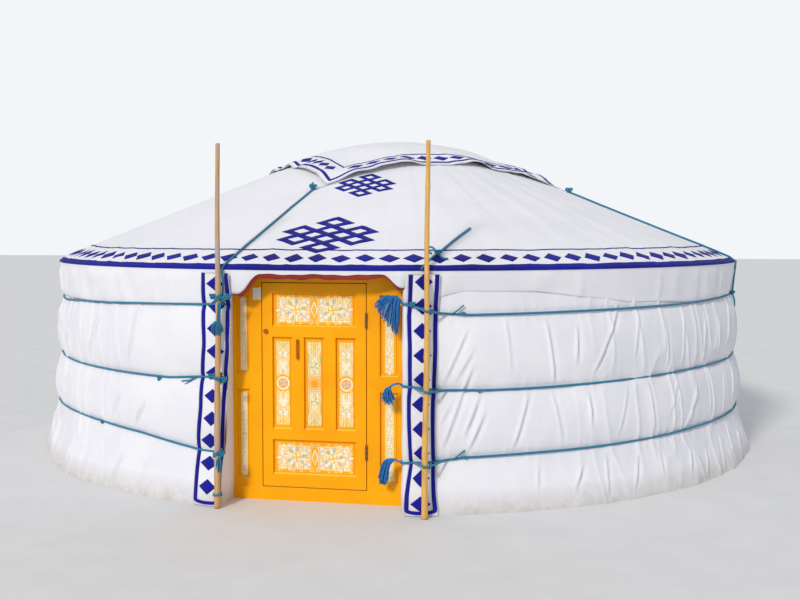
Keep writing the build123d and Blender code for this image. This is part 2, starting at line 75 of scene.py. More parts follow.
CROWN_R, EAVE_R = node_radii("roof_cover_3")
FELT_R, SKIRT_R = node_radii("wall_cover_3")
VALANCE_Z, ROOF_TOP = node_levels("roof_cover_3")
APEX_Z = node_levels("crown_flap")[1]
EAVE_Z = 1.600
VALANCE_TOP = EAVE_Z - 0.012
CONE = (ROOF_TOP - EAVE_Z) / (EAVE_R - CROWN_R)
CONE_LEAN = math.atan(CONE)
ROPES = ["upper_girth_rope", "middle_girth_rope", "lower_girth_rope"]
ROPE_Z = [sum(node_levels(name)) / 2 for name in ROPES]
ROPE_R = [node_radii(name)[0] for name in ROPES]
ROPE_WIDE = node_levels(ROPES[0])[1] - node_levels(ROPES[0])[0]
ROPE_THICK = ROPE_WIDE * 0.60
KNOT_ROPE = ROPE_THICK * 0.85
DOOR_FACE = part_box("door_frame")[0].y
FIELD_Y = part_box("door_panels")[0].y
LEAF_LOW, LEAF_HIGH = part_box("door_leaf")
PIN_X = (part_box("frame_hinges")[0].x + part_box("leaf_hinges")[1].x) / 2
PIN_REACH = 0.0085


# Camera first. No rope of this yurt lies free.

EYE = Vector((2.017, -9.864, 1.855))
AIM = Vector((0.02, 0.0, 1.20))
LENS = 49.5
SENSOR = 36.0


def add_object(name, data):
    thing = bpy.data.objects.new(name, data)
    bpy.context.scene.collection.objects.link(thing)
    return thing


def make_camera():
    data = bpy.data.cameras.new("camera")
    data.lens = LENS
    data.sensor_width = SENSOR
    camera = add_object("camera", data)
    camera.location = EYE
    camera.rotation_euler = (AIM - EYE).to_track_quat("-Z", "Y").to_euler()
    bpy.context.scene.camera = camera


make_camera()


# Materials

CANVAS_THREADS = 420.0
SPLASH_HEIGHT = 0.16
SOIL = (0.33, 0.27, 0.17)
# Painted highlight: the lighter orange that faces looking up are mixed towards, standing in for sky light on
# ledges
LEDGE_HIGHLIGHT_ORANGE = (0.98, 0.72, 0.10)
HINGE_ORANGE = (0.90, 0.36, 0.003)
NONE, MOST, ALL = (0, 0, 0), (0.8, 0.8, 0.8), (1, 1, 1)


class Nodes:
    """A short way to write a material's nodes."""

    def __init__(self, name, roughness, specular, sheen=0.0):
        self.material = bpy.data.materials.new(name)
        self.material.use_nodes = True
        self.tree = self.material.node_tree
        self.shader = self.tree.nodes["Principled BSDF"]
        levels = {"Roughness": roughness, "Specular IOR Level": specular, "Sheen Weight": sheen}
        for key, value in levels.items():
            self.shader.inputs[key].default_value = value

    def add(self, kind, **settings):
        """Adds a node; a setting names one of its sockets or one of its properties."""
        node = self.tree.nodes.new(kind)
        for key, value in settings.items():
            if key in node.inputs:
                self.feed(value, node.inputs[key])
            else:
                setattr(node, key, value)
        return node

    def feed(self, value, socket):
        if isinstance(value, bpy.types.NodeSocket):
            self.tree.links.new(value, socket)
        else:
            socket.default_value = (*value, 1.0) if socket.type == "RGBA" else value

    def math(self, operation, first, second=0.0):
        node = self.add("ShaderNodeMath", operation=operation)
        self.feed(first, node.inputs[0])
        self.feed(second, node.inputs[1])
        return node.outputs[0]

    def place(self, kind="Object"):
        return self.add("ShaderNodeTexCoord").outputs[kind]

    def split(self, vector):
        return self.add("ShaderNodeSeparateXYZ", Vector=vector).outputs

    def remap(self, value, **limits):
        """Limits are written From_Min and the like."""
        limits = {key.replace("_", " "): limit for key, limit in limits.items()}
        return self.add("ShaderNodeMapRange", Value=value, **limits).outputs["Result"]

    def noise(self, place, scale, detail, rough, stretch=None):
        if stretch:
            place = self.add("ShaderNodeMapping", Vector=place, Scale=stretch).outputs[0]
        return self.add("ShaderNodeTexNoise", Vector=place, Scale=scale, Detail=detail,
                        Roughness=rough).outputs["Fac"]

    def ramp(self, value, low, first, high, second):
        """Goes from the first colour at low to the second at high."""
        node = self.add("ShaderNodeValToRGB", Fac=value)
        for stop, position, colour in zip(node.color_ramp.elements, (low, high), (first, second)):
            stop.position = position
            stop.color = (*colour, 1.0)
        return node.outputs["Color"]

    def tones(self, coarse, limits, fine, fine_limits, share, dark, light):
        """Goes from dark to light by the coarse value, and a share of it by the fine one."""
        first, second = (self.ramp(value, low, dark, high, light)
                         for value, (low, high) in ((coarse, limits), (fine, fine_limits)))
        return self.mix(share, first, second)

    def patch(self, value, low, high, most, below, above):
        """Goes from one colour to most of another, sharply, where the value passes from low to high."""
        return self.mix(self.ramp(value, low, NONE, high, most), below, above)

    def mix(self, share, first, second):
        return self.add("ShaderNodeMix", data_type="RGBA", Factor=share, A=first, B=second).outputs["Result"]

    def bump(self, height, distance, strength, below=None):
        node = self.add("ShaderNodeBump", Height=height, Distance=distance, Strength=strength)
        if below is not None:
            self.feed(below, node.inputs["Normal"])
        return node.outputs["Normal"]

    def finish(self, colour, normal=None, roughness=None):
        for key, value in (("Base Color", colour), ("Normal", normal), ("Roughness", roughness)):
            if value is not None:
                self.feed(value, self.shader.inputs[key])
        return self.material


def cloth_material(name, colour, dark, soil=0.0, sheen=0.15, threads=CANVAS_THREADS):
    """Woven cloth, its threads counted per metre on its own coordinates, soiled near the ground."""
    n = Nodes(name, 0.85, 0.2, sheen)
    place = n.place()
    fine = n.noise(place, 55.0, 4.0, 0.6)
    tone = n.tones(n.noise(place, 1.7, 5.0, 0.6), (0.3, 0.62), fine, (0.35, 0.65), 0.12, dark, colour)
    if soil:
        low = n.remap(n.split(place)["Z"], From_Min=SPLASH_HEIGHT, From_Max=0.0)
        splash = n.math("MULTIPLY", low, n.noise(place, 16.0, 6.0, 0.7))
        tone = n.mix(n.math("MULTIPLY", splash, soil), tone, SOIL)
    cloth = n.split(n.place("UV"))
    warp, weft = (n.math("SINE", n.math("MULTIPLY", cloth[axis], threads * TAU)) for axis in ("X", "Y"))
    weave = n.math("MULTIPLY", warp, weft)
    return n.finish(tone, n.bump(weave, 0.0005, 0.5, n.bump(fine, 0.0016, 0.5)))


def wood_material(name, light, dark, rough=0.55, weather=None, coat=0.0):
    """Wood with upright grain, grey in patches where weather is given."""
    n = Nodes(name, rough, 0.35)
    place = n.place()
    grain = n.noise(place, 5.0, 6.0, 0.62, (14.0, 14.0, 0.6))
    fibre = n.noise(place, 8.0, 3.0, 0.6, (56.0, 56.0, 2.4))
    tone = n.tones(grain, (0.32, 0.66), fibre, (0.35, 0.6), 0.25, dark, light)
    if weather:
        tone = n.patch(n.noise(place, 2.3, 4.0, 0.6), 0.42, 0.62, ALL, tone, weather)
    if coat:
        n.shader.inputs["Coat Weight"].default_value = coat
        n.shader.inputs["Coat Roughness"].default_value = 0.25
    return n.finish(tone, n.bump(fibre, 0.0006, 0.6, n.bump(grain, 0.0012, 0.5)))


def paint_material(name, colour, dark, rough=0.34, wear_and_highlight=None):
    """Brushed gloss paint on wood; where a wear colour is given it is rubbed in patches, and what faces up
    gets a painted highlight of lighter orange.
    """
    n = Nodes(name, rough, 0.16)
    place = n.place()
    strokes = n.noise(place, 14.0, 5.0, 0.6, (9.0, 9.0, 1.0))
    tone = n.tones(n.noise(place, 3.2, 4.0, 0.55), (0.3, 0.6), strokes, (0.3, 0.7), 0.22, dark, colour)
    if wear_and_highlight:
        tone = n.patch(n.noise(place, 34.0, 6.0, 0.72), 0.68, 0.74, MOST, tone, wear_and_highlight)
        # Painted highlight: faces that look up turn lighter orange, as if lit from the sky
        highlight_facing = n.split(n.add("ShaderNodeNewGeometry").outputs["Normal"])
        tone = n.patch(highlight_facing["Z"], 0.25, 0.75, MOST, tone, LEDGE_HIGHLIGHT_ORANGE)
    gloss = n.remap(strokes, To_Min=rough - 0.08, To_Max=rough + 0.14)
    return n.finish(tone, n.bump(strokes, 0.0008, 0.35), gloss)


def rope_material(name, colour, dark, twist=0.022):
    """Laid rope: strands run round its own coordinates, u along and v round it; the grooves between strands
    take the dark colour as painted shade.
    """
    n = Nodes(name, 0.72, 0.25, 0.2)
    rope = n.split(n.place("UV"))
    turn = n.math("ADD", n.math("MULTIPLY", rope["X"], TAU / twist), n.math("MULTIPLY", rope["Y"], TAU))
    strand = n.math("ABSOLUTE", n.math("SINE", turn))
    fuzz = n.noise(n.place(), 300.0, 3.0, 0.6)
    # Painted shade: where strand is low, in the grooves, the colour goes to dark
    tone = n.tones(strand, (0.0, 0.55), fuzz, (0.35, 0.65), 0.3, dark, colour)
    return n.finish(tone, n.bump(fuzz, 0.001, 0.4, n.bump(strand, 0.003, 0.9)))


def iron_material():
    """Rusty iron at the hinges' pins; their plates are painted over with the door."""
    n = Nodes("iron", 0.55, 0.3)
    place = n.place()
    rust = n.noise(place, 90.0, 5.0, 0.65)
    tone = n.ramp(rust, 0.35, (0.09, 0.05, 0.035), 0.6, (0.24, 0.10, 0.045))
    off_pin = n.math("ABSOLUTE", n.math("SUBTRACT", n.split(place)["X"], PIN_X))
    painted = n.math("GREATER_THAN", off_pin, PIN_REACH)
    return n.finish(n.mix(painted, tone, HINGE_ORANGE), n.bump(rust, 0.0008, 0.6))


CANVAS = cloth_material("canvas_white", (0.84, 0.84, 0.88), (0.76, 0.76, 0.82), soil=0.85)
ROOF_CANVAS = cloth_material("roof_canvas_white", (0.85, 0.85, 0.89), (0.79, 0.79, 0.84))
LINING_FELT = cloth_material("wool_felt", (0.62, 0.58, 0.50), (0.48, 0.44, 0.37), threads=160.0, sheen=0.3)
BLUE_CLOTH = cloth_material("ornament_blue", (0.008, 0.010, 0.30), (0.004, 0.005, 0.18), sheen=0.05)
RED_CLOTH = cloth_material("hem_red", (0.40, 0.045, 0.035), (0.22, 0.02, 0.02), sheen=0.1)
STRAP = cloth_material("strap_grey", (0.62, 0.62, 0.66), (0.42, 0.43, 0.48), threads=300.0)
ROPE_TEAL = rope_material("rope_teal", (0.020, 0.24, 0.40), (0.006, 0.09, 0.18))
TASSEL = rope_material("tassel_blue", (0.012, 0.22, 0.62), (0.004, 0.09, 0.30), twist=0.09)
# The door's paint is rubbed in patches and has a painted highlight on what faces up
DOOR_PAINT = paint_material("door_orange", (0.93, 0.42, 0.001), (0.90, 0.34, 0.001), wear_and_highlight=(0.82, 0.34, 0.01))
FIELD_PAINT = paint_material("panel_orange", (0.93, 0.45, 0.006), (0.90, 0.38, 0.004))
RUST_PAINT = paint_material("handle_red", (0.50, 0.10, 0.006), (0.32, 0.05, 0.004))
FRAME_WOOD = wood_material("frame_wood", (0.56, 0.27, 0.085), (0.33, 0.13, 0.035), rough=0.45, coat=0.2)
PALE_POLE = wood_material("pole_ochre", (0.78, 0.47, 0.13), (0.52, 0.27, 0.06))
GREY_POLE = wood_material("pole_weathered", (0.66, 0.40, 0.16), (0.38, 0.21, 0.09),
                          weather=(0.42, 0.34, 0.29))
IRON = iron_material()


# Meshes

class Builder:
    """Gathers the faces of many small shapes into one piece."""

    def __init__(self):
        self.points, self.faces, self.uvs, self.slots = [], [], [], []
        self.count = 0

    def grid(self, points, uv=None, closed=False, slot=0, flip=False):
        """points is an array of rows by columns by 3; closed joins the last row to the first."""
        rows, columns = points.shape[:2]
        index = self.count + np.arange(rows * columns).reshape(rows, columns)
        if closed:
            index = np.vstack([index, index[:1]])
        quads = np.stack([index[:-1, :-1], index[1:, :-1], index[1:, 1:], index[:-1, 1:]], axis=-1)
        quads = quads.reshape(-1, 4)
        self.points.append(points.reshape(-1, 3))
        self.uvs.append(np.asarray(points[..., :2] if uv is None else uv, float).reshape(-1, 2))
        self.faces.append(quads[:, ::-1] if flip else quads)
        self.slots.append(np.full(len(quads), slot))
        self.count += rows * columns

    def fan(self, centre, ring, slot=0, flip=False):
        """A flat or domed cap: triangles from a centre to a ring, written as quads with one short side."""
        both = np.stack([np.broadcast_to(centre, ring.shape), ring], axis=1)
        self.grid(both, closed=True, slot=slot, flip=flip)

    def hem(self, top, under, turned=False):
        """Closes all four edges between two like grids."""
        for edge in (0, -1):
            self.grid(np.stack([top[edge], under[edge]]), flip=(edge == 0) != turned)
            self.grid(np.stack([top[:, edge], under[:, edge]]), flip=(edge == 0) == turned)

    def cloth(self, top, under, uv=None, turned=False):
        """Both faces of a cloth and its four edges."""
        self.grid(top, uv, flip=True)
        self.grid(under, uv)
        self.hem(top, under, turned)

    def sides(self, top, under, closed=False, flip=False):
        """Closes the first and last column between two like grids."""
        for edge in (0, -1):
            both = np.stack([top[:, edge], under[:, edge]], axis=1)
            self.grid(both, closed=closed, flip=(edge == 0) == flip)

    def piece(self, name, material, body="yurt", smooth=True):
        faces = np.concatenate(self.faces)
        mesh = bpy.data.meshes.new(name)
        mesh.from_pydata(np.concatenate(self.points).tolist(), [], faces.tolist())
        layer = mesh.uv_layers.new(name="cloth")
        layer.data.foreach_set("uv", np.concatenate(self.uvs)[faces.reshape(-1)].reshape(-1))
        mesh.polygons.foreach_set("material_index", np.concatenate(self.slots).astype(int))
        mesh.update()
        weld(mesh)
        for each in material if isinstance(material, list) else [material]:
            mesh.materials.append(each)
        mesh.polygons.foreach_set("use_smooth", [smooth] * len(mesh.polygons))
        piece = add_object(name, mesh)
        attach(piece, body)
        return piece


def weld(mesh):
    """Joins points that lie on each other and drops the empty faces that this leaves."""
    work = bmesh.new()
    work.from_mesh(mesh)
    bmesh.ops.remove_doubles(work, verts=work.verts, dist=1e-5)
    bmesh.ops.dissolve_degenerate(work, edges=work.edges, dist=1e-6)
    work.to_mesh(mesh)
    work.free()


def joined(*parts):
    return np.stack(np.broadcast_arrays(*parts), axis=-1)


def column(low, high, count, endpoint=True):
    """Even steps as a column, to meet a row of other values in a grid."""
    return np.linspace(low, high, count, endpoint=endpoint)[:, None]


def at(angle, radius, height):
    """Points by angle from the door, radius and height."""
    return joined(radius * np.sin(angle), -radius * np.cos(angle), height)


def fade(value, low, high):
    """Smooth step from 0 at low to 1 at high."""
    share = np.clip((value - low) / (high - low), 0.0, 1.0)
    return share * share * (3 - 2 * share)


def bell(off, width):
    """A smooth hump of height 1."""
    return np.exp(-(off / width) ** 2)


def soft_noise(u, v, seed, wrap=0):
    """Smooth noise from -1 to 1 on a unit grid; wrap is the number of cells before u repeats."""
    size = 251
    table = np.random.default_rng(seed).uniform(-1, 1, (size, size))
    u, v = np.broadcast_arrays(np.asarray(u, float), np.asarray(v, float))
    cu, cv = np.floor(u).astype(int), np.floor(v).astype(int)
    fu, fv = u - cu, v - cv
    fu, fv = fu * fu * (3 - 2 * fu), fv * fv * (3 - 2 * fv)
    nu = cu + 1
    if wrap:
        cu, nu = cu % wrap, nu % wrap
    cu, nu, cv, nv = cu % size, nu % size, cv % size, (cv + 1) % size
    low = table[cu, cv] * (1 - fu) + table[nu, cv] * fu
    high = table[cu, nv] * (1 - fu) + table[nu, nv] * fu
    return low * (1 - fv) + high * fv


def crease(u, v, seed, wrap=0, sharp=3.0):
    """Narrow ridges between broad hollows, from 0 to 1."""
    return (1 - np.abs(soft_noise(u, v, seed, wrap))) ** sharp


def tube(builder, path, radius, sides=8, start=0.0, caps=True):
    """A tube along points, with u along it in metres and v once round it."""
    path = np.asarray(path, float)
    radius = np.broadcast_to(np.asarray(radius, float), (len(path),))[:, None, None]
    forward = np.gradient(path, axis=0)
    forward /= np.linalg.norm(forward, axis=1)[:, None] + 1e-12
    side = np.cross(forward[0], (0.0, 0.0, 1.0))
    if np.linalg.norm(side) < 0.2:
        side = np.cross(forward[0], (0.0, 1.0, 0.0))
    across = []
    for step in forward:
        side = side - step * side.dot(step)
        side = side / np.linalg.norm(side)
        across.append(side)
    across = np.array(across)
    up = np.cross(forward, across)
    turn = np.linspace(0, TAU, sides + 1)
    ring = across[:, None] * np.cos(turn)[:, None] + up[:, None] * np.sin(turn)[:, None]
    points = path[:, None] + ring * radius
    along = start + np.concatenate([[0], np.cumsum(np.linalg.norm(np.diff(path, axis=0), axis=1))])
    builder.grid(points, joined(along[:, None], turn / TAU))
    if caps:
        builder.fan(path[0], points[0, :-1], flip=True)
        builder.fan(path[-1], points[-1, :-1])


def smooth_path(points, steps):
    """A Catmull-Rom curve through the points."""
    points = np.asarray(points, float)
    padded = np.vstack([2 * points[0] - points[1], points, 2 * points[-1] - points[-2]])
    t = column(0, 1, steps, endpoint=False)
    out = [0.5 * (2 * b + (c - a) * t + (2 * a - 5 * b + 4 * c - d) * t ** 2
                  + (3 * b - a - 3 * c + d) * t ** 3)
           for a, b, c, d in zip(padded, padded[1:], padded[2:], padded[3:])]
    return np.vstack([*out, points[-1:]])


# The canvas on the wall

COVER_LEFT_X = 0.592
COVER_RIGHT_X = 0.605
WALL_START = math.asin(COVER_RIGHT_X / FELT_R)
WALL_END = TAU - math.asin(COVER_LEFT_X / FELT_R)
LAP = 0.012
SWELL = 0.034
PRESSED = 0.004
FELT_THICK = 0.014

# Where the ropes depart from level, by degrees from the door: read off the photo as far as it shows them
ROPE_DIPS = [
    ([-110, -56, -33, -15, 12, 17, 21, 60, 120],
     [-0.02, -0.053, -0.020, 0.004, 0.030, -0.037, -0.050, -0.03, 0.01]),
    ([-110, -60, -27, -21, -15, 12, 17, 23, 60],
     [-0.01, 0.0, -0.005, -0.006, 0.020, 0.0, -0.030, -0.036, -0.01]),
    ([-110, -44, -35, -26, -15, 12, 16, 20, 60],
     [0.03, 0.070, 0.058, 0.037, -0.026, -0.050, -0.042, -0.020, 0.01]),
]

# Folds beside the right strip: degrees and height of their upper and lower ends, and depth
SEEN_PULLS = [
    (20.4, 1.20, 17.2, 0.84, 9), (21.2, 1.07, 18.7, 0.85, 8), (21.0, 0.95, 17.0, 0.42, 10),
    (18.3, 0.72, 16.6, 0.57, 8), (22.0, 0.77, 19.7, 0.49, 12), (22.5, 0.65, 20.2, 0.39, 11),
    (19.5, 1.31, 17.3, 1.20, 7), (17.6, 0.29, 16.8, 0.19, 6),
]
MORE_PULLS = 180
PULL_LEVELS = [(0.86, 1.30), (0.42, 0.80), (0.03, 0.34)]
LEFT_WALL = 283.0


def rope_level(index, angle):
    """Height of a girth rope at an angle from the door."""
    turns, dips = ROPE_DIPS[index]
    return ROPE_Z[index] + np.interp(np.degrees(angle), turns, dips, period=360)


def even_height(angle, height):
    """The height a point of the wall would have if the three ropes ran level."""
    true = [0 * angle, *[rope_level(index, angle) for index in (2, 1, 0)], EAVE_Z + 0 * angle]
    flat = [0.0, *ROPE_Z[::-1], EAVE_Z]
    return sum((flat_high - flat_low) * np.clip((height - low) / (high - low), 0, 1)
               for low, high, flat_low, flat_high in zip(true, true[1:], flat, flat[1:]))


def wall_radius(angle, height):
    """Outside of the canvas before its folds: drawn in by the ropes and spread at the ground."""
    height = even_height(np.asarray(angle, float), np.asarray(height, float))
    levels = ROPE_Z[::-1]
    radii = [ROPE_R[2] - PRESSED, ROPE_R[1] - PRESSED, ROPE_R[0] - 0.0105]
    radius = np.interp(height, levels, radii)
    for low, high in zip(levels, levels[1:]):
        share = np.clip((height - low) / (high - low), 0, 1)
        radius = radius + SWELL * (1 - np.abs(2 * share - 1) ** 2.4) * ((share > 0) & (share < 1))
    below = np.clip((levels[0] - height) / levels[0], 0, 1)
    spread = 0.25 * np.sin(below * math.pi / 2) + 0.75 * below ** 1.2
    return radius + (SKIRT_R - radii[0] - PRESSED) * spread


def slanting_pulls():
    """Sharp folds of the wall: the ones that the photo shows, and others that follow no plan."""
    pulls = list(SEEN_PULLS)
    dice = random.Random(12)
    for index in range(MORE_PULLS):
        turn = 25.0 + 312.0 * (index + dice.random()) / MORE_PULLS
        low, high = PULL_LEVELS[index % 3]
        middle = (low + high) / 2 + dice.uniform(-0.06, 0.06)
        reach = (high - low) * dice.uniform(0.25, 0.55)
        slant = dice.uniform(-4.0, 11.0) * reach
        depth = dice.uniform(3, 11) * (1.8 if turn > LEFT_WALL else 1.2)
        pulls.append((turn + slant, middle + reach, turn - slant, middle - reach, depth))
    return pulls


PULLS = slanting_pulls()


def wall_folds(angle, height):
    """Folds of the wall's canvas: gathers at the ropes, slanting pulls and long soft waves."""
    angle, height = np.broadcast_arrays(angle, height)
    along = angle * EAVE_R
    far = fade(np.abs((along + 2.9 * math.pi) % (EAVE_R * TAU) - EAVE_R * math.pi), 1.2, 2.4)
    shape = 0.006 * soft_noise(along / 0.55, height / 0.9, 11)
    for turn_high, high, turn_low, low, depth in PULLS:
        line = math.radians(turn_low) + math.radians(turn_high - turn_low) * (height - low) / (high - low)
        across = (angle - line) * EAVE_R
        reach = fade(height, low - 0.03, low + 0.10) * (1 - fade(height, high - 0.10, high + 0.03))
        shape = shape + 0.0015 * depth * reach * (bell(across, 0.011) - 0.6 * bell(across - 0.026, 0.018))
    shape = shape + 0.012 * far * crease((along + 0.12 * height) / 0.13, height / 0.6, 14, sharp=6.0)
    for index, seed in enumerate((15, 16, 17)):
        off = height - rope_level(index, angle)
        gather = crease(along / 0.075, height / 0.2, seed, sharp=2.0) - 0.4
        shape = shape + 0.007 * np.exp(-np.abs(off) / 0.07) * gather - 0.0065 * bell(off, 0.018)
    hem = soft_noise(along / 0.42, 0.5, 18) + 0.5 * soft_noise(along / 0.17, 1.5, 19)
    ruck = crease((along - 0.5 * height) / 0.31, 0.5, 20)
    return shape + fade(height, 0.32, 0.0) * (0.012 * hem + 0.022 * ruck * far)


def make_wall():
    """Two lengths of canvas, lapped behind the yurt, each turned in at the door, over one of felt."""
    heights = np.concatenate([np.linspace(0.0, 1.42, 84), [1.50, 1.57]])
    for side, way, first, last, door_x in (("right", 1, WALL_START, math.pi + LAP, COVER_RIGHT_X),
                                           ("left", -1, math.pi - LAP, WALL_END, -COVER_LEFT_X)):
        angles = column(first, last, 1020)
        lift = 0.003 * way * fade(np.abs(angles - math.pi), 3 * LAP, LAP)
        surface = at(angles, wall_radius(angles, heights) + wall_folds(angles, heights) + lift, heights)
        builder = Builder()
        builder.grid(surface, joined(angles * EAVE_R, heights), flip=True)
        x, y, z = surface[0 if way > 0 else -1].T
        share = column(0, 1, 9)
        wave = (0.002 + 0.004 * np.sin(z * 10.5) ** 2) * share * (1 - share) * 4
        turned_x = door_x + (x - door_x) * (1 - share) ** 3 - way * wave
        turned_y = y + (DOOR_FACE - 0.0006 - y) * share
        builder.grid(joined(turned_x, turned_y, z), joined(0.14 * share, z), flip=way < 0)
        piece = builder.piece(f"wall_canvas_{side}", CANVAS)
        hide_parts(*[f"wall_cover_{index}" for index in ((1, 2, 3) if side == "right" else (4, 5, 6))])

    felt = Builder()
    angles, heights = column(WALL_START, WALL_END, 240), np.linspace(0.0, 1.62, 18)
    dent = 0.006 * (1 + soft_noise(angles * 9, heights * 4, 21))
    inner, outer = (at(angles, FELT_R + dent + thick, heights) for thick in (0, FELT_THICK))
    uv = joined(angles * FELT_R, heights)
    felt.grid(inner, uv)
    felt.grid(outer, uv, flip=True)
    felt.hem(inner, outer)
    piece = felt.piece("wall_felt", LINING_FELT)


make_wall()


# The canvas on the roof, with its hanging valance

POLE_FIELDS = 52
SEAMS = 18
ROOF_THICK = 0.035
ROOF_FELT_R = 2.90
DOOR_HEM_Z, SCALLOP_LEFT, SCALLOP_RIGHT = 1.553, 0.135, 0.085
HEM_LINING_TOP, HEM_LINING_PEEK = 1.58, 0.031
FRONT_LEFT = -math.asin(0.602 / EAVE_R)
FRONT_RIGHT = math.asin(0.640 / EAVE_R)


def cone_height(radius):
    return EAVE_Z + (EAVE_R - radius) * CONE


def round_noise(angle, cells, across, seed):
    """Soft noise that closes up after a number of cells round the yurt."""
    return soft_noise(angle * cells / TAU, across, seed, wrap=cells)


def roof_folds(angle, radius):
    """Small height changes of the roof's cloth: fields between the poles, creases and seams."""
    sag = -0.003 * fade(radius, 0.8, 1.6) * (1 - np.cos(angle * POLE_FIELDS)) / 2
    wave = 0.004 * round_noise(angle, 24, radius / 0.8, 31)
    pull = 0.0035 * crease(angle * 90 / TAU + 0.4 * radius, radius / 1.1, 32, wrap=90, sharp=5.0)
    gather = 0.003 * fade(radius, 2.3, 2.95) * crease(angle * 170 / TAU, radius / 0.5, 33, wrap=170)
    off_seam = (((angle * SEAMS / TAU) % 1) - 0.5) * TAU * EAVE_R / SEAMS
    return sag + wave + pull + gather + 0.0015 * bell(off_seam, 0.009)


def roof_surface(angle, radius, lift=0.0):
    """A point of the roof's cloth, lifted along the cone's normal."""
    rise = roof_folds(angle, radius) + lift
    rounding = 0.012 * fade(radius, EAVE_R - 0.05, EAVE_R)
    out = radius + rise * math.sin(CONE_LEAN) - rounding * 0.3
    return at(angle, out, cone_height(radius) + rise * math.cos(CONE_LEAN) - rounding)


def valance_surface(angle, share, hem, tuck=0.0):
    """The hanging band, from the eave at share 0 to its hem at share 1, drawn in by the upper rope."""
    height = VALANCE_TOP + (hem - VALANCE_TOP) * share
    top_r, tied_r = EAVE_R - 0.0036, ROPE_R[0] - PRESSED
    tied_z = np.maximum(rope_level(0, angle), np.minimum(hem, 1.46))
    level = np.clip((VALANCE_TOP - height) / (VALANCE_TOP - tied_z), 0, 1)
    radius = top_r + (tied_r - top_r) * level ** 1.25 + 0.006 * np.clip((tied_z - height) / 0.03, 0, 1)
    folds = 0.013 * crease(angle * 150 / TAU + 0.9 * height, height / 0.5, 41, wrap=150, sharp=2.4)
    folds = folds + 0.006 * round_noise(angle, 64, height * 3, 42)
    folds = folds * np.clip((VALANCE_TOP - hem) / 0.2, 0, 1)
    puckers = 1 + 1.2 * fade(np.abs((angle + math.pi) % TAU - math.pi + 1.0), 0.66, 0.44)
    hold = 1 - 0.65 * bell(height - tied_z, 0.022)
    return at(angle, radius + (folds * puckers * fade(share, 0.0, 0.35) - 0.003) * hold - tuck, height)


def front_hem(angle):
    """Height of the hem over the door: level, and hanging in a scallop at each side."""
    x = EAVE_R * np.sin(angle)
    wave = 0.003 * np.sin(x * 17 + 0.6) + 0.002 * np.sin(x * 43)
    return DOOR_HEM_Z + wave - SCALLOP_LEFT * fade(-x, 0.33, 0.53) - SCALLOP_RIGHT * fade(x, 0.50, 0.62)


def side_hem(angle):
    """Height of the valance's hem: held by the rope, but pulled out above it right of the door."""
    turns, rises = [-30, 12, 16.5, 20, 30, 45, 60], [0, 0.05, 0.085, 0.13, 0.12, 0.03, 0]
    rise = np.interp(np.degrees(angle), turns, rises, period=360)
    return VALANCE_Z + rise + 0.003 * round_noise(angle, 80, 0.7, 43)


def make_roof():
    """The canvas with its valance, the red lining over the door and the felt beneath."""
    builder = Builder()
    angles = column(0, TAU, 780, endpoint=False)
    radii = np.concatenate([np.linspace(CROWN_R - 0.004, 2.70, 54), np.linspace(2.72, EAVE_R, 14)])
    builder.grid(roof_surface(angles, radii), joined(angles * 1.8, radii), closed=True, flip=True)
    sides = column(FRONT_RIGHT, TAU + FRONT_LEFT, 700)
    fronts = column(FRONT_LEFT, FRONT_RIGHT, 110)
    for angles, hem, rows, turned_up, tucks, deep in (
            (sides, side_hem, 15, [1.012, 1.0, 0.93], [0.002, 0.005, 0.006], 0.28),
            (fronts, front_hem, 9, [1.0, 0.7], [0.005, 0.006], 0.1)):
        shares = np.concatenate([np.linspace(0, 1, rows), turned_up])
        band = valance_surface(angles, shares, hem(angles), np.concatenate([np.zeros(rows), tucks]))
        band[:, :1] = roof_surface(angles, EAVE_R)
        builder.grid(band, joined(angles * EAVE_R, 5 - deep * shares), flip=True)
    piece = builder.piece("roof_canvas", ROOF_CANVAS)
    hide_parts("front_roof_cover", *[f"roof_cover_{index}" for index in range(1, 6)])

    lining = Builder()
    x, cover_hem = EAVE_R * np.sin(fronts), front_hem(fronts)
    thin = 1 - 0.8 * fade(-x, 0.47, 0.55) - 0.6 * fade(x, 0.44, 0.54)
    wave = 0.004 * np.sin(x * 31) * thin
    hem = cover_hem - HEM_LINING_PEEK * thin + wave - 0.010 * bell(x - COVER_LEFT_X, 0.022)
    height = HEM_LINING_TOP + (hem - HEM_LINING_TOP) * np.linspace(0, 1, 5)
    outside = valance_surface(fronts, (VALANCE_TOP - height) / (VALANCE_TOP - cover_hem), cover_hem)
    radius = np.hypot(outside[..., 0], outside[..., 1]) - 0.0085
    lining.cloth(at(fronts, radius, height), at(fronts, radius - 0.003, height), turned=True)
    piece = lining.piece("door_hem_lining", RED_CLOTH)

    under = Builder()
    angles, radii = column(0, TAU, 208, endpoint=False), np.linspace(CROWN_R, ROOF_FELT_R, 14)
    low = at(angles, radii, cone_height(radii) - ROOF_THICK / math.cos(CONE_LEAN) + 0.001)
    high = low + (0, 0, FELT_THICK)
    uv = joined(angles * 2, radii)
    under.grid(low, uv, closed=True)
    under.grid(high, uv, closed=True, flip=True)
    under.sides(low, high, closed=True, flip=True)
    piece = under.piece("roof_felt", LINING_FELT)


make_roof()


# Sewn-on ornament

APPLIQUE = 0.0028
SEWN_DEPTH = 0.0045
KNOT_STROKE = 0.40
EAVE_BAND = 0.040
INNER_BAND = (2.688, 2.701)
ROOF_DIAMONDS = 110
DIAMOND_RING, DIAMOND_ACROSS, DIAMOND_UP = 2.823, 0.069, 0.063
FIRST_DIAMOND = math.radians(0.62)
# Each knot's middle, as x and distance down the roof, and the units of its grid across and up
ROOF_KNOTS = ((0.0, 2.44, 0.104, 0.070), (0.048, 1.50, 0.069, 0.056))


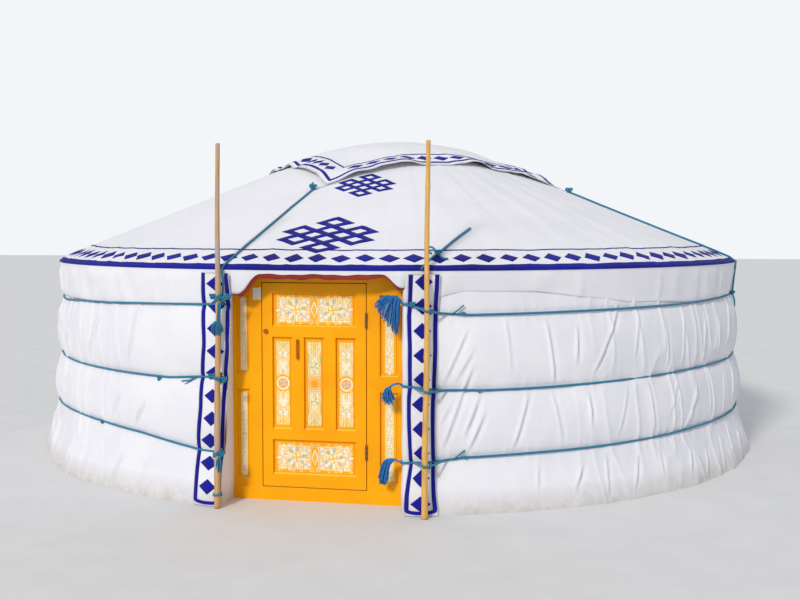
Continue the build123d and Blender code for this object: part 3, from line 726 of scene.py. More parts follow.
def sew_patch(builder, surface, corners, steps):
    """Sews a four-cornered patch on a surface; corners are places on it, in order round the patch."""
    a, b, c, d = [np.asarray(corner, float) for corner in corners]
    s = np.linspace(0, 1, steps + 1)[:, None, None]
    t = column(0, 1, steps + 1)
    place = a * (1 - s) * (1 - t) + b * s * (1 - t) + c * s * t + d * (1 - s) * t
    top, foot = (surface(place[..., 0], place[..., 1], lift) for lift in (APPLIQUE, APPLIQUE - SEWN_DEPTH))
    builder.grid(top, place)
    builder.hem(top, foot)


def sew_diamond(builder, surface, middle, half, steps=4, lean=0.0):
    (a, b), (half_a, half_b) = middle, half
    corners = [(a - half_a, b), (a + lean, b - half_b), (a + half_a, b), (a - lean, b + half_b)]
    sew_patch(builder, surface, corners, steps)


# The endless knot on a slanted grid: the squares that stay open between its strokes
KNOT_HOLES = [(0.5, 0.5), (-0.5, -0.5), (0.5, -0.5), (-0.5, 0.5), (1.5, -1.5), (-1.5, 1.5), (1.5, 0.5),
              (0.5, 1.5), (-0.5, -1.5), (-1.5, -0.5)]


def knot_patches():
    """Crossings and bars of the knot, each once, as corners on the slanted grid."""
    posts, bars = set(), set()
    for a, b in KNOT_HOLES:
        low_a, low_b = a - 0.5, b - 0.5
        posts.update((low_a + step_a, low_b + step_b, 0, 0) for step_a in (0, 1) for step_b in (0, 1))
        bars.update((low_a, low_b + step, 1, 0) for step in (0, 1))
        bars.update((low_a + step, low_b, 0, 1) for step in (0, 1))
    half = KNOT_STROKE / 2
    for a, b, along_a, along_b in sorted(posts) + sorted(bars):
        (left, right), (low, high) = ((near + half, near + 1 - half) if along else (near - half, near + half)
                                      for near, along in ((a, along_a), (b, along_b)))
        yield [(left, low), (right, low), (right, high), (left, high)]


def sew_knot(builder, middle_x, middle_r, unit_x, unit_r):
    """Places the knot on the roof, its length up the slope."""
    for patch in knot_patches():
        flat = [(middle_x + (a + b) * unit_x, middle_r - (a - b) * unit_r) for a, b in patch]
        sew_patch(builder, roof_surface, [(math.atan2(x, r), math.hypot(x, r)) for x, r in flat], 3)


def make_roof_ornament():
    """The blue bands at the eave, a row of diamonds between them and two knots over the door."""
    builder = Builder()
    turn = column(0, TAU, 720, endpoint=False)
    for inner, outer, ripple in ((EAVE_R - EAVE_BAND, EAVE_R, 0), (*INNER_BAND, 0.006)):
        radii = np.linspace(inner, outer, 4) + ripple * round_noise(turn, 60, 2.2, 51)
        top, foot = (roof_surface(turn, radii, lift) for lift in (APPLIQUE, APPLIQUE - SEWN_DEPTH))
        builder.grid(top, joined(turn * 2.9, radii), closed=True, flip=True)
        builder.sides(top, foot, closed=True)
    wrapped = (turn + math.pi) % TAU - math.pi
    hem = np.where((wrapped > FRONT_LEFT) & (wrapped < FRONT_RIGHT), front_hem(turn), side_hem(turn))
    band = valance_surface(turn, 0.008 / (VALANCE_TOP - hem) * np.linspace(0, 1, 4), hem, -0.004)
    band[:, :1] = roof_surface(turn, EAVE_R, APPLIQUE)
    builder.grid(band, joined(turn * 2.9, np.arange(4) * 0.01), closed=True, flip=True)
    dice = random.Random(7)
    for index in range(ROOF_DIAMONDS):
        r = DIAMOND_RING + dice.uniform(-0.004, 0.004)
        half_a = (DIAMOND_ACROSS + dice.uniform(-0.005, 0.004)) / r
        half_r = DIAMOND_UP + dice.uniform(-0.007, 0.005)
        lean = dice.uniform(-0.006, 0.006) / r
        middle = (FIRST_DIAMOND + index * TAU / ROOF_DIAMONDS, r)
        sew_diamond(builder, roof_surface, middle, (half_a, half_r), lean=lean)
    for place in ROOF_KNOTS:
        sew_knot(builder, *place)
    piece = builder.piece("roof_ornament", BLUE_CLOTH)


make_roof_ornament()


# The flap over the crown

FLAP_SIDE = 2.13
FLAP_HALF = FLAP_SIDE / 2
FLAP_TURN = math.radians(-10.5)
FLAP_RIM = 0.70
FLAP_GAP = 0.011
FLAP_LIFT = 0.042
FLAP_LINES = ((0.040, 0.026), (0.232, 0.014))
FLAP_DIAMONDS, FLAP_PITCH, FLAP_ROW = 11, 0.152, 0.145


def flap_surface(p, q, lift=0.0):
    """The flap, its corner p = q = 1 at the door: over the crown, then on the roof, its edges in waves."""
    toward = math.radians(-90) + FLAP_TURN
    along, across = (p + q) / math.sqrt(2), (q - p) / math.sqrt(2)
    x = along * math.cos(toward) - across * math.sin(toward)
    y = along * math.sin(toward) + across * math.cos(toward)
    radius = np.hypot(x, y)
    rim_z = cone_height(FLAP_RIM) + FLAP_GAP
    over = rim_z + (APEX_Z - 0.010 - rim_z) * (1 - np.clip(radius / FLAP_RIM, 0, 1) ** 2)
    base = np.where(radius < FLAP_RIM, over, cone_height(radius) + FLAP_GAP)
    reach_p, reach_q = np.abs(p) / FLAP_HALF, np.abs(q) / FLAP_HALF
    edge, corner = np.maximum(reach_p, reach_q), np.minimum(reach_p, reach_q)
    on_p = reach_p > reach_q
    along_edge = np.where(on_p, q, p) + 3 * np.sign(np.where(on_p, p, q)) + 7 * on_p
    waves = np.clip((0.5 + 0.5 * soft_noise(along_edge / 0.16, 0.4, 61)) * 1.6 - 0.35, 0, 1)
    base = base + FLAP_LIFT * fade(edge, 0.70, 1.0) * (1 - fade(corner, 0.72, 0.98)) * waves
    pull = crease(np.arctan2(q, p) * 5 + 0.3 * radius, radius / 0.5, 62, sharp=4.0)
    base = base + 0.006 * pull * fade(radius, 0.35, 0.8) + 0.003 * soft_noise(p / 0.2, q / 0.2, 63)
    return joined(x, y, base + lift)


def make_flap():
    """The square flap and the blue lines and diamonds along its sides."""
    builder = Builder()
    p, q = column(-FLAP_HALF, FLAP_HALF, 121), np.linspace(-FLAP_HALF, FLAP_HALF, 121)
    builder.cloth(flap_surface(p, q), flap_surface(p, q, -0.004), joined(p, q))
    piece = builder.piece("crown_flap_canvas", ROOF_CANVAS)
    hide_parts("crown_flap")

    border = Builder()
    dice = random.Random(5)
    for quarter in range(4):
        def turned(s, t, lift=0.0, quarter=quarter):
            """A place by its distance along a side and in from it."""
            p, q = s, FLAP_HALF - t
            for _ in range(quarter):
                p, q = q, -p
            return flap_surface(p, q, lift)
        for depth, width in FLAP_LINES:
            inset = depth + width * np.linspace(0, 1, 4)
            reach = FLAP_HALF - depth
            s = column(-reach, reach, 97) * ((FLAP_HALF - inset) / reach)
            t = np.broadcast_to(inset, s.shape)
            top = turned(s, t, APPLIQUE)
            border.grid(top, joined(s, t))
            border.sides(top, turned(s, t, -0.002), flip=True)
        for index in range(FLAP_DIAMONDS):
            s = (index - (FLAP_DIAMONDS - 1) / 2) * FLAP_PITCH
            half_s = 0.068 + dice.uniform(-0.004, 0.004)
            half_t = 0.052 + dice.uniform(-0.004, 0.004)
            sew_diamond(border, turned, (s, FLAP_ROW), (half_s, half_t))
    piece = border.piece("crown_flap_ornament", BLUE_CLOTH)


make_flap()


# Ornament strips beside the door

# Height, left and right edge of each strip from the ground up; height of its lowest diamond, and their pitch
STRIPS = {
    "left_strip": (
        [(0.0, -0.804, -0.588), (0.23, -0.803, -0.592), (0.45, -0.803, -0.585), (0.65, -0.786, -0.571),
         (0.82, -0.784, -0.568), (1.06, -0.770, -0.548), (1.30, -0.777, -0.550), (1.60, -0.768, -0.556)],
        0.125, 0.151),
    "right_strip": (
        [(0.0, 0.655, 0.872), (0.05, 0.652, 0.869), (0.13, 0.654, 0.858), (0.31, 0.668, 0.838),
         (0.45, 0.660, 0.836), (0.80, 0.656, 0.838), (1.07, 0.654, 0.846), (1.35, 0.650, 0.848),
         (1.60, 0.660, 0.860)],
        0.078, 0.159),
}
STRIP_TOP = 1.560
STRIP_WIDE = 0.205
STRIP_DIAMONDS, STRIP_DIAMOND_UP, STRIP_DIAMOND_ACROSS = 10, 0.052, 0.30
STRIP_LINE, STRIP_INSET, STRIP_FOOT = 0.13, 0.02, 0.052
STRIP_GAP = 0.0125
LINING_LOW, LINING_HIGH = 0.34, 0.63


def strip_edges(edges, height):
    levels, lefts, rights = zip(*edges)
    return np.interp(height, levels, lefts), np.interp(height, levels, rights)


def strip_surface_for(edges, seed):
    """The strip hangs over the valance and the wall, drawn in where the ropes cross it."""
    def surface(across, height, lift=0.0):
        left, right = strip_edges(edges, height)
        x = left + across * (right - left) + 0.003 * np.sin(height * 11.0 + seed)
        angle = np.arcsin(x / EAVE_R)
        wall = wall_radius(angle, height) + STRIP_GAP
        level = np.clip((EAVE_Z - height) / (EAVE_Z - rope_level(0, angle)), 0, 1)
        cover = EAVE_R + (ROPE_R[0] - EAVE_R) * level ** 1.25 + STRIP_GAP
        radius = np.where(height > VALANCE_Z - 0.01, np.maximum(cover, wall), wall + 0.006)
        for index in range(len(ROPES)):
            radius = radius - 0.010 * bell(height - rope_level(index, angle), 0.02)
        off = across - 0.5
        curl = (np.abs(off) * 2) ** 3 * soft_noise(height / 0.11, np.sign(off) * 5, seed + 9)
        radius = radius + 0.006 * soft_noise(height / 0.16, across * 2 + seed, seed) + 0.008 * curl + lift
        return joined(x, -np.sqrt(radius ** 2 - x ** 2), height)
    return surface


def make_strip(name, seed):
    """A strip, its blue border and diamonds, and the turned red edge of the left one."""
    edges, first, pitch = STRIPS[name]
    surface = strip_surface_for(edges, seed)
    builder = Builder()
    across, heights = column(0, 1, 13), np.linspace(0.004, STRIP_TOP, 110)
    top, under = (surface(across, heights, lift) for lift in (0, -0.003))
    builder.cloth(top, under, joined(across * STRIP_WIDE, heights))
    strip = builder.piece(f"{name}_canvas", CANVAS)
    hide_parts(name)

    ornament = Builder()
    heights = np.linspace(STRIP_FOOT, STRIP_TOP - 0.004, 100)
    for edge in (STRIP_INSET, 1 - STRIP_INSET - STRIP_LINE):
        across = edge + STRIP_LINE * column(0, 1, 3)
        face, back = (surface(across, heights, lift) for lift in (APPLIQUE, -0.001))
        ornament.grid(face, joined(across, heights), flip=True)
        for row in (0, -1):
            ornament.grid(np.stack([face[row], back[row]]), flip=row == -1)
    turn = np.linspace(0, math.pi, 25)
    arcs = [joined(0.5 - reach * np.cos(turn), STRIP_FOOT - (STRIP_FOOT - low) * np.sin(turn) ** 0.5)
            for reach, low in ((0.5 - STRIP_INSET - STRIP_LINE, 0.034), (0.5 - STRIP_INSET, 0.012))]
    places = np.stack(arcs)
    ornament.grid(surface(places[..., 0], places[..., 1], APPLIQUE), places, flip=True)
    dice = random.Random(seed)
    for index in range(STRIP_DIAMONDS):
        half_z = STRIP_DIAMOND_UP + dice.uniform(-0.005, 0.004)
        half_x = STRIP_DIAMOND_ACROSS + dice.uniform(-0.02, 0.02)
        sew_diamond(ornament, surface, (0.5, first + pitch * index), (half_x, half_z), steps=5)
    sewn = ornament.piece(f"{name}_ornament", BLUE_CLOTH)

    linings = []
    if name == "left_strip":
        lining = Builder()
        heights = np.linspace(LINING_LOW, LINING_HIGH, 40)
        peek = 0.045 * np.sin((heights - LINING_LOW) / (LINING_HIGH - LINING_LOW) * math.pi) ** 0.7
        across = 0.92 + (0.08 + peek) * column(0, 1, 4)
        for lift in (-0.004, -0.0055):
            lining.grid(surface(across, heights, lift), flip=lift == -0.004)
        linings = [lining.piece(f"{name}_lining", RED_CLOTH)]


make_strip("left_strip", 71)
make_strip("right_strip", 72)


# Ropes

ROPE_START_X = 0.612
ROPE_END_X = 0.585
LEFT_POLE_TURN, RIGHT_POLE_TURN = math.radians(-12.5), math.radians(15.5)


def girth_line(index, steps=420):
    """Route of a girth rope, close on the canvas, from the right of the door round to its left."""
    radius = ROPE_R[index] + ROPE_WIDE / 2 - PRESSED
    angles = np.linspace(math.asin(ROPE_START_X / radius), TAU - math.asin(ROPE_END_X / radius), steps)
    x = radius * np.sin(angles)
    lift = np.zeros(steps)
    for edges, _, _ in STRIPS.values():
        left, right = strip_edges(edges, ROPE_Z[index])
        over = fade(x, left - 0.06, left) * (1 - fade(x, right, right + 0.06)) * (np.cos(angles) > 0)
        lift = np.maximum(lift, over * 0.007)
    dip = 0.003 * soft_noise(angles * 6, 0.5, 81 + index)
    return at(angles, radius + lift, rope_level(index, angles) + dip)


def knot(builder, centre, size, rope=KNOT_ROPE, turn=0.0):
    """A tight overhand knot, seen from the door's side."""
    t = np.linspace(0, TAU, 41) + turn
    path = joined(np.sin(t) + 1.6 * np.sin(2 * t), -1.3 * np.sin(3 * t),
                  0.8 * np.cos(t) - 1.5 * np.cos(2 * t))
    tube(builder, centre + path * (size / 3), rope, sides=7, caps=False)


def strand(builder, points, thick=KNOT_ROPE, steps=6):
    tube(builder, smooth_path(points, steps), thick, sides=6)


def tuft(builder, root, crest, tips, threads, seed, thick=0.0042, loose=1.0):
    """A brush of threads: they leave the root together, bend over the crest and end along the tips."""
    dice = random.Random(seed)
    crest, tips = smooth_path(crest, 8), smooth_path(tips, 8)
    for index in range(threads):
        share = (index + dice.random()) / threads
        over, tip = (line[int(share * (len(line) - 1))] for line in (crest, tips))
        sway = loose * np.array([dice.gauss(0, 0.004), dice.gauss(0, 0.010), dice.gauss(0, 0.005)])
        route = smooth_path([root + 0.25 * sway, over + sway, tip + 1.6 * sway], 8)
        tube(builder, route, thick * np.linspace(1.0, 0.6, len(route)), sides=5, start=dice.random())


def on_wall(turn, height, lift):
    """A point just off the canvas, by degrees from the door and height."""
    angle = math.radians(turn)
    return at(angle, wall_radius(angle, height) + lift, height)


def on_rope(index, turn, rise=0.0, lift=0.010):
    """A point just off a girth rope, by degrees from the door."""
    angle = math.radians(turn)
    return at(angle, ROPE_R[index] + lift, rope_level(index, angle) + rise)


def make_girth_ropes():
    """The three ropes; knots are written as degrees, rise and size, and loose ends as degrees and rise."""
    knots = [[(20.0, 0.005, 0.011)], [(-22.8, -0.012, 0.017), (22.0, -0.004, 0.010)],
             [(-35.2, 0.0, 0.014), (20.1, 0.0, 0.010)]]
    tails = [[[(18.4, 0.0), (19.1, 0.022), (20.0, 0.062)]],
             [[(-16.2, 0.0), (-17.2, -0.020), (-18.6, -0.026)],
              [(-16.4, -0.004), (-17.4, -0.034), (-18.2, -0.052)]],
             [[(18.6, 0.0), (19.2, 0.020), (20.0, 0.048)]]]
    for index, name in enumerate(ROPES):
        builder = Builder()
        tube(builder, girth_line(index), ROPE_THICK)
        for turn, rise, size in knots[index]:
            knot(builder, on_rope(index, turn, rise), size, turn=turn)
        for tail in tails[index]:
            strand(builder, [on_rope(index, turn, rise, 0.014) for turn, rise in tail], KNOT_ROPE * 0.8)
        piece = builder.piece(f"{name}_line", ROPE_TEAL)
        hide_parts(name)


make_girth_ropes()


def make_tassels():
    """The girth ropes' frayed ends right of the door, stiff enough to stand off before they hang.

    Their points are places in metres, set against the photo.
    """
    roots = [at(math.asin(ROPE_START_X / 2.92), 2.922, rope_level(index, 0.21)) for index in range(3)]
    builder = Builder()
    tuft(builder, roots[0],
         [(0.520, -2.865, 1.412), (0.560, -2.870, 1.400), (0.600, -2.865, 1.376)],
         [(0.446, -2.850, 1.372), (0.444, -2.860, 1.335), (0.470, -2.860, 1.292), (0.515, -2.852, 1.235),
          (0.555, -2.845, 1.185), (0.574, -2.840, 1.172), (0.588, -2.840, 1.260)], 110, 1)
    strand(builder, [roots[1], (0.598, -2.872, 0.842), (0.560, -2.880, 0.838), (0.530, -2.876, 0.812)],
           ROPE_THICK, 8)
    tuft(builder, (0.534, -2.876, 0.818),
         [(0.500, -2.868, 0.790), (0.520, -2.868, 0.795), (0.540, -2.865, 0.790)],
         [(0.478, -2.855, 0.750), (0.498, -2.850, 0.716), (0.532, -2.850, 0.712), (0.560, -2.848, 0.745)],
         74, 2, loose=1.2)
    knot(builder, roots[2] + (0.012, -0.004, -0.014), 0.020)
    strand(builder, [roots[2], (0.596, -2.880, 0.330), (0.566, -2.884, 0.346)], KNOT_ROPE, 8)
    tuft(builder, (0.572, -2.882, 0.345),
         [(0.497, -2.872, 0.330), (0.520, -2.872, 0.318), (0.530, -2.870, 0.300)],
         [(0.458, -2.856, 0.225), (0.466, -2.850, 0.180), (0.492, -2.848, 0.165), (0.515, -2.850, 0.205)],
         70, 3, loose=0.8)
    piece = builder.piece("rope_tassel_threads", TASSEL)
    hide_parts("rope_tassels")


make_tassels()


def over_roof(x, y, lift=0.009):
    return roof_surface(np.arctan2(x, -y), np.hypot(x, y), lift)


def roof_run(start, end, steps=30):
    """A taut rope on the roof's cloth between two places in plan."""
    (x0, y0), (x1, y1) = start, end
    share = np.linspace(0, 1, steps)
    return over_roof(x0 + (x1 - x0) * share, y0 + (y1 - y0) * share)


# Places of the front ropes in plan: the flap's strap, where it is tied and its eave, and the slit's rope
STRAP_START, STRAP_TIED, STRAP_EAVE = (-0.190, -1.440), (-0.357, -1.540), (-0.585, -2.850)
SLIT_START, SLIT_TIED = (0.957, -2.135), (0.813, -2.640)
STRAP_HALF = 0.009


def make_roof_ropes():
    """A rope from each corner of the flap, and one from the slit beside the right pole."""
    ropes, straps = Builder(), Builder()

    def tie_corner(start, tied, side):
        """The strap at a corner of the flap, and the knot at its end."""
        straps.grid(np.stack([roof_run(start, tied, 8) + way * side for way in (-1, 1)]), flip=True)
        knot(ropes, over_roof(*tied, 0.022), 0.034, ROPE_THICK)

    tie_corner(STRAP_START, STRAP_TIED, np.array([0, STRAP_HALF, 0]))
    loose_end = ((*STRAP_TIED, 0.03), (-0.375, -1.47, 0.035), (-0.40, -1.44, 0.012))
    strand(ropes, [over_roof(*place) for place in loose_end])
    run = roof_run(STRAP_TIED, STRAP_EAVE)
    tube(ropes, run, ROPE_THICK)
    drop = [at(math.radians(turn), radius, height) for turn, radius, height in (
        (-11.7, EAVE_R + 0.012, 1.585), (-11.5, 2.975, 1.50), (-11.8, 2.960, 1.41), (-11.9, 2.958, 1.35))]
    strand(ropes, [run[-1], *drop], ROPE_THICK * 0.9)

    tube(ropes, roof_run(SLIT_START, SLIT_TIED), ROPE_THICK * 1.15)
    knot(ropes, over_roof(0.812, -2.646, 0.020), 0.026, ROPE_THICK, turn=1.0)
    for ends, after in (
            (((0.812, -2.646, 0.02), (0.760, -2.600, 0.03), (0.735, -2.625, 0.02), (0.770, -2.660, 0.012)),
             []),
            (((0.812, -2.650, 0.02), (0.850, -2.700, 0.012), (0.890, -2.700, 0.010)), []),
            (((0.812, -2.650, 0.02), (0.770, -2.770, 0.010), (0.745, -2.868, 0.010)),
             [at(math.radians(14.6), EAVE_R + 0.008, 1.590)])):
        strand(ropes, [over_roof(*end) for end in ends] + after)

    reach = FLAP_SIDE / math.sqrt(2)
    for quarter in (1, 2, 3):
        turn = math.degrees(FLAP_TURN) + 90 * quarter
        angle = math.radians(turn)
        start, tied, eave = (at(angle, r, 0)[:2] for r in (reach - 0.06, reach + 0.07, EAVE_R - 0.005))
        tie_corner(start, tied, STRAP_HALF * at(math.radians(turn + 90), 1, 0))
        level = rope_level(0, angle)
        drop = [at(angle, radius, height) for radius, height in (
            (EAVE_R + 0.010, VALANCE_TOP), ((EAVE_R + ROPE_R[0]) / 2 + 0.014, (EAVE_Z + level) / 2),
            (ROPE_R[0] + 0.020, level + 0.010))]
        tube(ropes, np.vstack([roof_run(tied, eave), smooth_path(drop, 8)]), ROPE_THICK)
        knot(ropes, drop[-1], 0.022)
        strand(ropes, [drop[-1], on_wall(turn + 0.5, 1.27, 0.03), on_wall(turn + 0.3, 1.22, 0.02)])
    piece = ropes.piece("roof_rope_lines", ROPE_TEAL)
    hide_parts("roof_ropes")
    straps.piece("flap_straps", STRAP)


make_roof_ropes()


# The standing poles, round and a little crooked

POLE_KNOTS = 7


def make_pole(name, material, seed):
    """The pole, from the foot and head of its node; gives back its centre and radius by height."""
    points = node_points(name)
    z = points[:, 2]
    foot, head = points[z < z.min() + 0.001], points[z > z.max() - 0.001]
    base, top = foot.mean(axis=0), head.mean(axis=0)
    base_r, top_r = (np.hypot(*(end - end.mean(axis=0))[:, :2].T).max() for end in (foot, head))
    share = np.linspace(0, 1, 90)
    path = base + (top - base) * share[:, None]
    bow = np.sin(share * math.pi)
    path[:, 0] += 0.005 * np.sin(share * 9 + seed) * bow
    path[:, 1] += 0.004 * np.sin(share * 7 + 2 * seed) * bow
    radius = base_r * 0.97 + (top_r - base_r) * share
    dice = random.Random(seed)
    for _ in range(POLE_KNOTS):
        radius = radius + 0.0022 * bell(share - dice.uniform(0.08, 0.95), 0.008)
    radius = radius + 0.0008 * soft_noise(share * 40, 0.3, seed)
    path = np.vstack([path, path[-1:] + [0, 0, 0.004]])
    radius = np.append(radius, radius[-1] * 0.75)
    builder = Builder()
    tube(builder, path, radius, sides=20)
    piece = builder.piece(f"{name}_wood", material)
    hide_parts(name)

    def place(height):
        centre = [np.interp(height, path[:, 2], path[:, axis]) for axis in (0, 1)]
        return np.array([*centre, height]), np.interp(height, path[:, 2], radius)
    return place


LEFT_POLE = make_pole("left_pole", GREY_POLE, 3)
RIGHT_POLE = make_pole("right_pole", PALE_POLE, 4)


def clasp(builder, pole, level, back_y, turns, slope, rope=KNOT_ROPE):
    """Turns of rope round a pole and round the girth rope behind it."""
    centre, radius = pole(level)
    t = np.linspace(0, TAU * turns, int(26 * turns))
    reach = radius + rope * 0.9
    depth = np.where(np.sin(t) < 0, reach, back_y - centre[1])
    height = level + (t / TAU - turns / 2) * rope * 1.9 + slope * np.cos(t)
    tube(builder, joined(centre[0] + reach * np.cos(t), centre[1] + depth * np.sin(t), height), rope, sides=7)


def before_left_pole(level, gap):
    """Gives places before the left pole from x beside its middle, height and y behind the gap."""
    centre, radius = LEFT_POLE(level)
    return lambda x, z, y=0.0: (centre[0] + x, centre[1] - radius - gap + y, z)


def make_pole_ties():
    """Lashings of both poles; each wrap is written as height, y behind the pole, turns and slope."""
    builder = Builder()
    upper, middle, lower = (rope_level(index, LEFT_POLE_TURN) for index in range(3))
    for wrap in ((upper + 0.045, -2.900, 3.5, 0.010), (middle + 0.012, -2.920, 2.5, -0.012),
                 (lower + 0.010, -2.955, 2.5, 0.014), (0.092, -3.02, 1.5, 0.004)):
        clasp(builder, LEFT_POLE, *wrap)
    for level, sides in ((upper + 0.05, (-0.038, 0.045, 0.075)), (middle + 0.016, (-0.042, 0.05)),
                         (lower, (0.035,))):
        centre, radius = LEFT_POLE(level)
        for number, side in enumerate(sides):
            knot(builder, centre + (side, -radius * 0.5, 0.010 * (-1) ** number), 0.022, turn=number)
    near = before_left_pole(1.30, 0.010)
    for side in (0.008, 0.022):
        strand(builder, [near(side, 1.36, 0.010), near(side, 1.29), near(side - 0.006, 1.235)])
    tuft(builder, near(0.012, 1.245), [near(-0.030, 1.215), near(0.035, 1.210)],
         [near(-0.044, 1.178, 0.01), near(0.0, 1.150), near(0.036, 1.172, 0.01)],
         26, 8, thick=0.0045, loose=0.7)
    near = before_left_pole(0.33, 0.006)
    tuft(builder, near(0.03, 0.350), [near(0.006, 0.318), near(0.042, 0.315)],
         [near(0.004, 0.262), near(0.020, 0.245), near(0.036, 0.268)], 12, 9, loose=0.5)
    piece = builder.piece("left_pole_lashings", ROPE_TEAL)
    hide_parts("left_pole_ties")

    builder = Builder()
    for index, back_y in enumerate((-2.845, -2.865, -2.900)):
        (x, y, level), radius = RIGHT_POLE(rope_level(index, RIGHT_POLE_TURN))
        clasp(builder, RIGHT_POLE, level, back_y, 1.5, -0.008, ROPE_THICK * 0.8)
        wrap = [on_rope(index, 13.6, 0.0, 0.02), (x - radius, y - radius * 0.8, level + 0.006),
                (x + radius * 0.9, y - radius * 0.8, level - 0.002), on_rope(index, 17.6, 0.0, 0.012)]
        strand(builder, wrap, ROPE_THICK * 0.95, 8)
        if index == 0:
            knot(builder, on_rope(0, 13.4, 0.012, 0.02), 0.020)
    piece = builder.piece("right_pole_lashings", ROPE_TEAL)
    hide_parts("right_pole_ties")


make_pole_ties()


# The door's painted ornament, its stop and the bare number plate

CREAM, WHITE, GREEN, BLUE, ROSE, GOLD = range(6)
TINTS = [(0.93, 0.78, 0.42), (0.93, 0.91, 0.80), (0.42, 0.58, 0.24), (0.42, 0.52, 0.64), (0.92, 0.62, 0.47),
         (0.93, 0.58, 0.03)]
PAINTS = [paint_material(f"ornament_paint_{index}", tint, tuple(0.86 * part for part in tint), rough=0.5)
          for index, tint in enumerate(TINTS)]
RELIEF = 0.0013
BARE_Y = FIELD_Y + 0.0002
UP = math.pi / 2


class Brush:
    """Raised strokes of paint about the middle of a panel; sizes in metres."""

    def __init__(self, builder, left, right, low, high):
        self.builder = builder
        self.middle = np.array([(left + right) / 2, (low + high) / 2])
        self.half = ((right - left) / 2, (high - low) / 2)

    def stroke(self, x, z, width, paint, lift=0.0):
        line = self.middle + joined(x, z)
        forward = np.gradient(line, axis=0)
        forward /= np.linalg.norm(forward, axis=1)[:, None] + 1e-9
        side = joined(-forward[:, 1], forward[:, 0]) * (width / 2 * np.ones(len(line)))[:, None]
        rows = []
        for way, y in ((-1, BARE_Y), (0, FIELD_Y - RELIEF - lift), (1, BARE_Y)):
            x, z = (line + way * side).T
            rows.append(joined(x, y, z))
        self.builder.grid(np.stack(rows), slot=paint, flip=True)

    def petal(self, x, z, turn, length, width, paint, lift=0.0):
        share = np.linspace(0, 1, 8)
        self.stroke(x + share * length * math.cos(turn), z + share * length * math.sin(turn),
                    width * np.sin(share * math.pi) ** 0.7 + 0.0004, paint, lift)

    def ring(self, x, z, r, width, paint):
        t = np.linspace(0, TAU, 25)
        self.stroke(x + r * np.cos(t), z + r * np.sin(t), width, paint)

    def spiral(self, x, z, r, start, turns, paint, width):
        t = np.linspace(0, 1, 18)
        reach, turn = r * (1 - 0.85 * t), start + TAU * turns * t
        self.stroke(x + reach * np.cos(turn), z + reach * np.sin(turn), width * (1 - 0.6 * t), paint)

    def flower(self, x, z, r, petals, paints, inner, heart=GOLD):
        for index in range(petals):
            turn = TAU * index / petals + 0.2
            self.petal(x + inner * r * math.cos(turn), z + inner * r * math.sin(turn), turn, r * (1 - inner),
                       3.3 * r / petals, paints[index % len(paints)], 0.0004)
        self.petal(x - 0.2 * r, z, 0.0, 0.4 * r, 0.4 * r, heart, 0.0012)

    def lace(self, reach_x, reach_z, pitch, clear=lambda x, z: False):
        """A low net of crossing waves with a bud in each eye, left open where clear(x, z) says so."""
        columns, rows = max(2, round(2 * reach_x / pitch)), max(2, round(2 * reach_z / pitch))
        step_x, step_z = 2 * reach_x / columns, 2 * reach_z / rows
        share = np.linspace(0, 1, 6)
        for column_index in range(columns):
            for row in range(rows + 1):
                x, z = -reach_x + step_x * column_index, -reach_z + step_z * row
                if clear(x + step_x / 2, z):
                    continue
                for way in (-1, 1):
                    line = z + way * step_z / 2 * np.sin(math.pi * share)
                    if abs(line[2]) < reach_z + 0.001:
                        self.stroke(x + step_x * share, line, 0.0040, CREAM, -0.0004)
                if row < rows:
                    self.petal(x, z + step_z * 0.24, UP, step_z * 0.52, step_x * 0.40,
                               (WHITE, CREAM)[(column_index + row) % 2], -0.0004)

    def corners(self, x, z, r, turns):
        """The same scroll in all four quarters."""
        for way in (-1, 1):
            for rise in (-1, 1):
                self.spiral(way * x, rise * z, r, math.atan2(rise, way), turns * way * rise, CREAM, 0.006)


def paint_wide(brush):
    """Two rosettes and a lozenge between blossoms and scrolls."""
    brush.lace(0.256, 0.084, 0.0165, lambda x, z: abs(x) < 0.022)
    for way in (-1, 1):
        brush.flower(way * 0.130, 0, 0.080, 15, (GREEN, WHITE, CREAM, BLUE, WHITE), 0.42)
        brush.flower(way * 0.130, 0, 0.034, 8, (GOLD, WHITE), 0.1)
        brush.ring(way * 0.130, 0, 0.038, 0.005, WHITE)
        brush.flower(way * 0.226, 0.0, 0.046, 8, (WHITE, ROSE), 0.2, ROSE)
        for rise in (-1, 1):
            brush.flower(way * 0.060, rise * 0.050, 0.032, 6, (WHITE, ROSE), 0.1, BLUE)
            brush.flower(way * 0.222, rise * 0.064, 0.026, 5, (CREAM, WHITE), 0.1, GREEN)
            brush.flower(way * 0.178, rise * 0.080, 0.017, 5, (WHITE, CREAM), 0.1, BLUE)
            for step in range(4):
                brush.petal(way * (0.026 + 0.012 * step), rise * 0.010, rise * way * 0.5 + UP * (1 - way),
                            0.014, 0.007, (ROSE, WHITE)[step % 2])
    for scroll in ((0.252, 0.078, 0.017), (0.200, 0.040, 0.014), (0.256, 0.034, 0.014), (0.098, 0.084, 0.013),
                   (0.022, 0.078, 0.018), (0.150, 0.088, 0.010)):
        brush.corners(*scroll, 1.2)
    x, z = np.array([(0, 0.056), (0.020, 0), (0, -0.056), (-0.020, 0), (0, 0.056)]).T
    brush.stroke(x, z, 0.008, WHITE)
    brush.petal(0, -0.034, UP, 0.068, 0.018, GOLD)


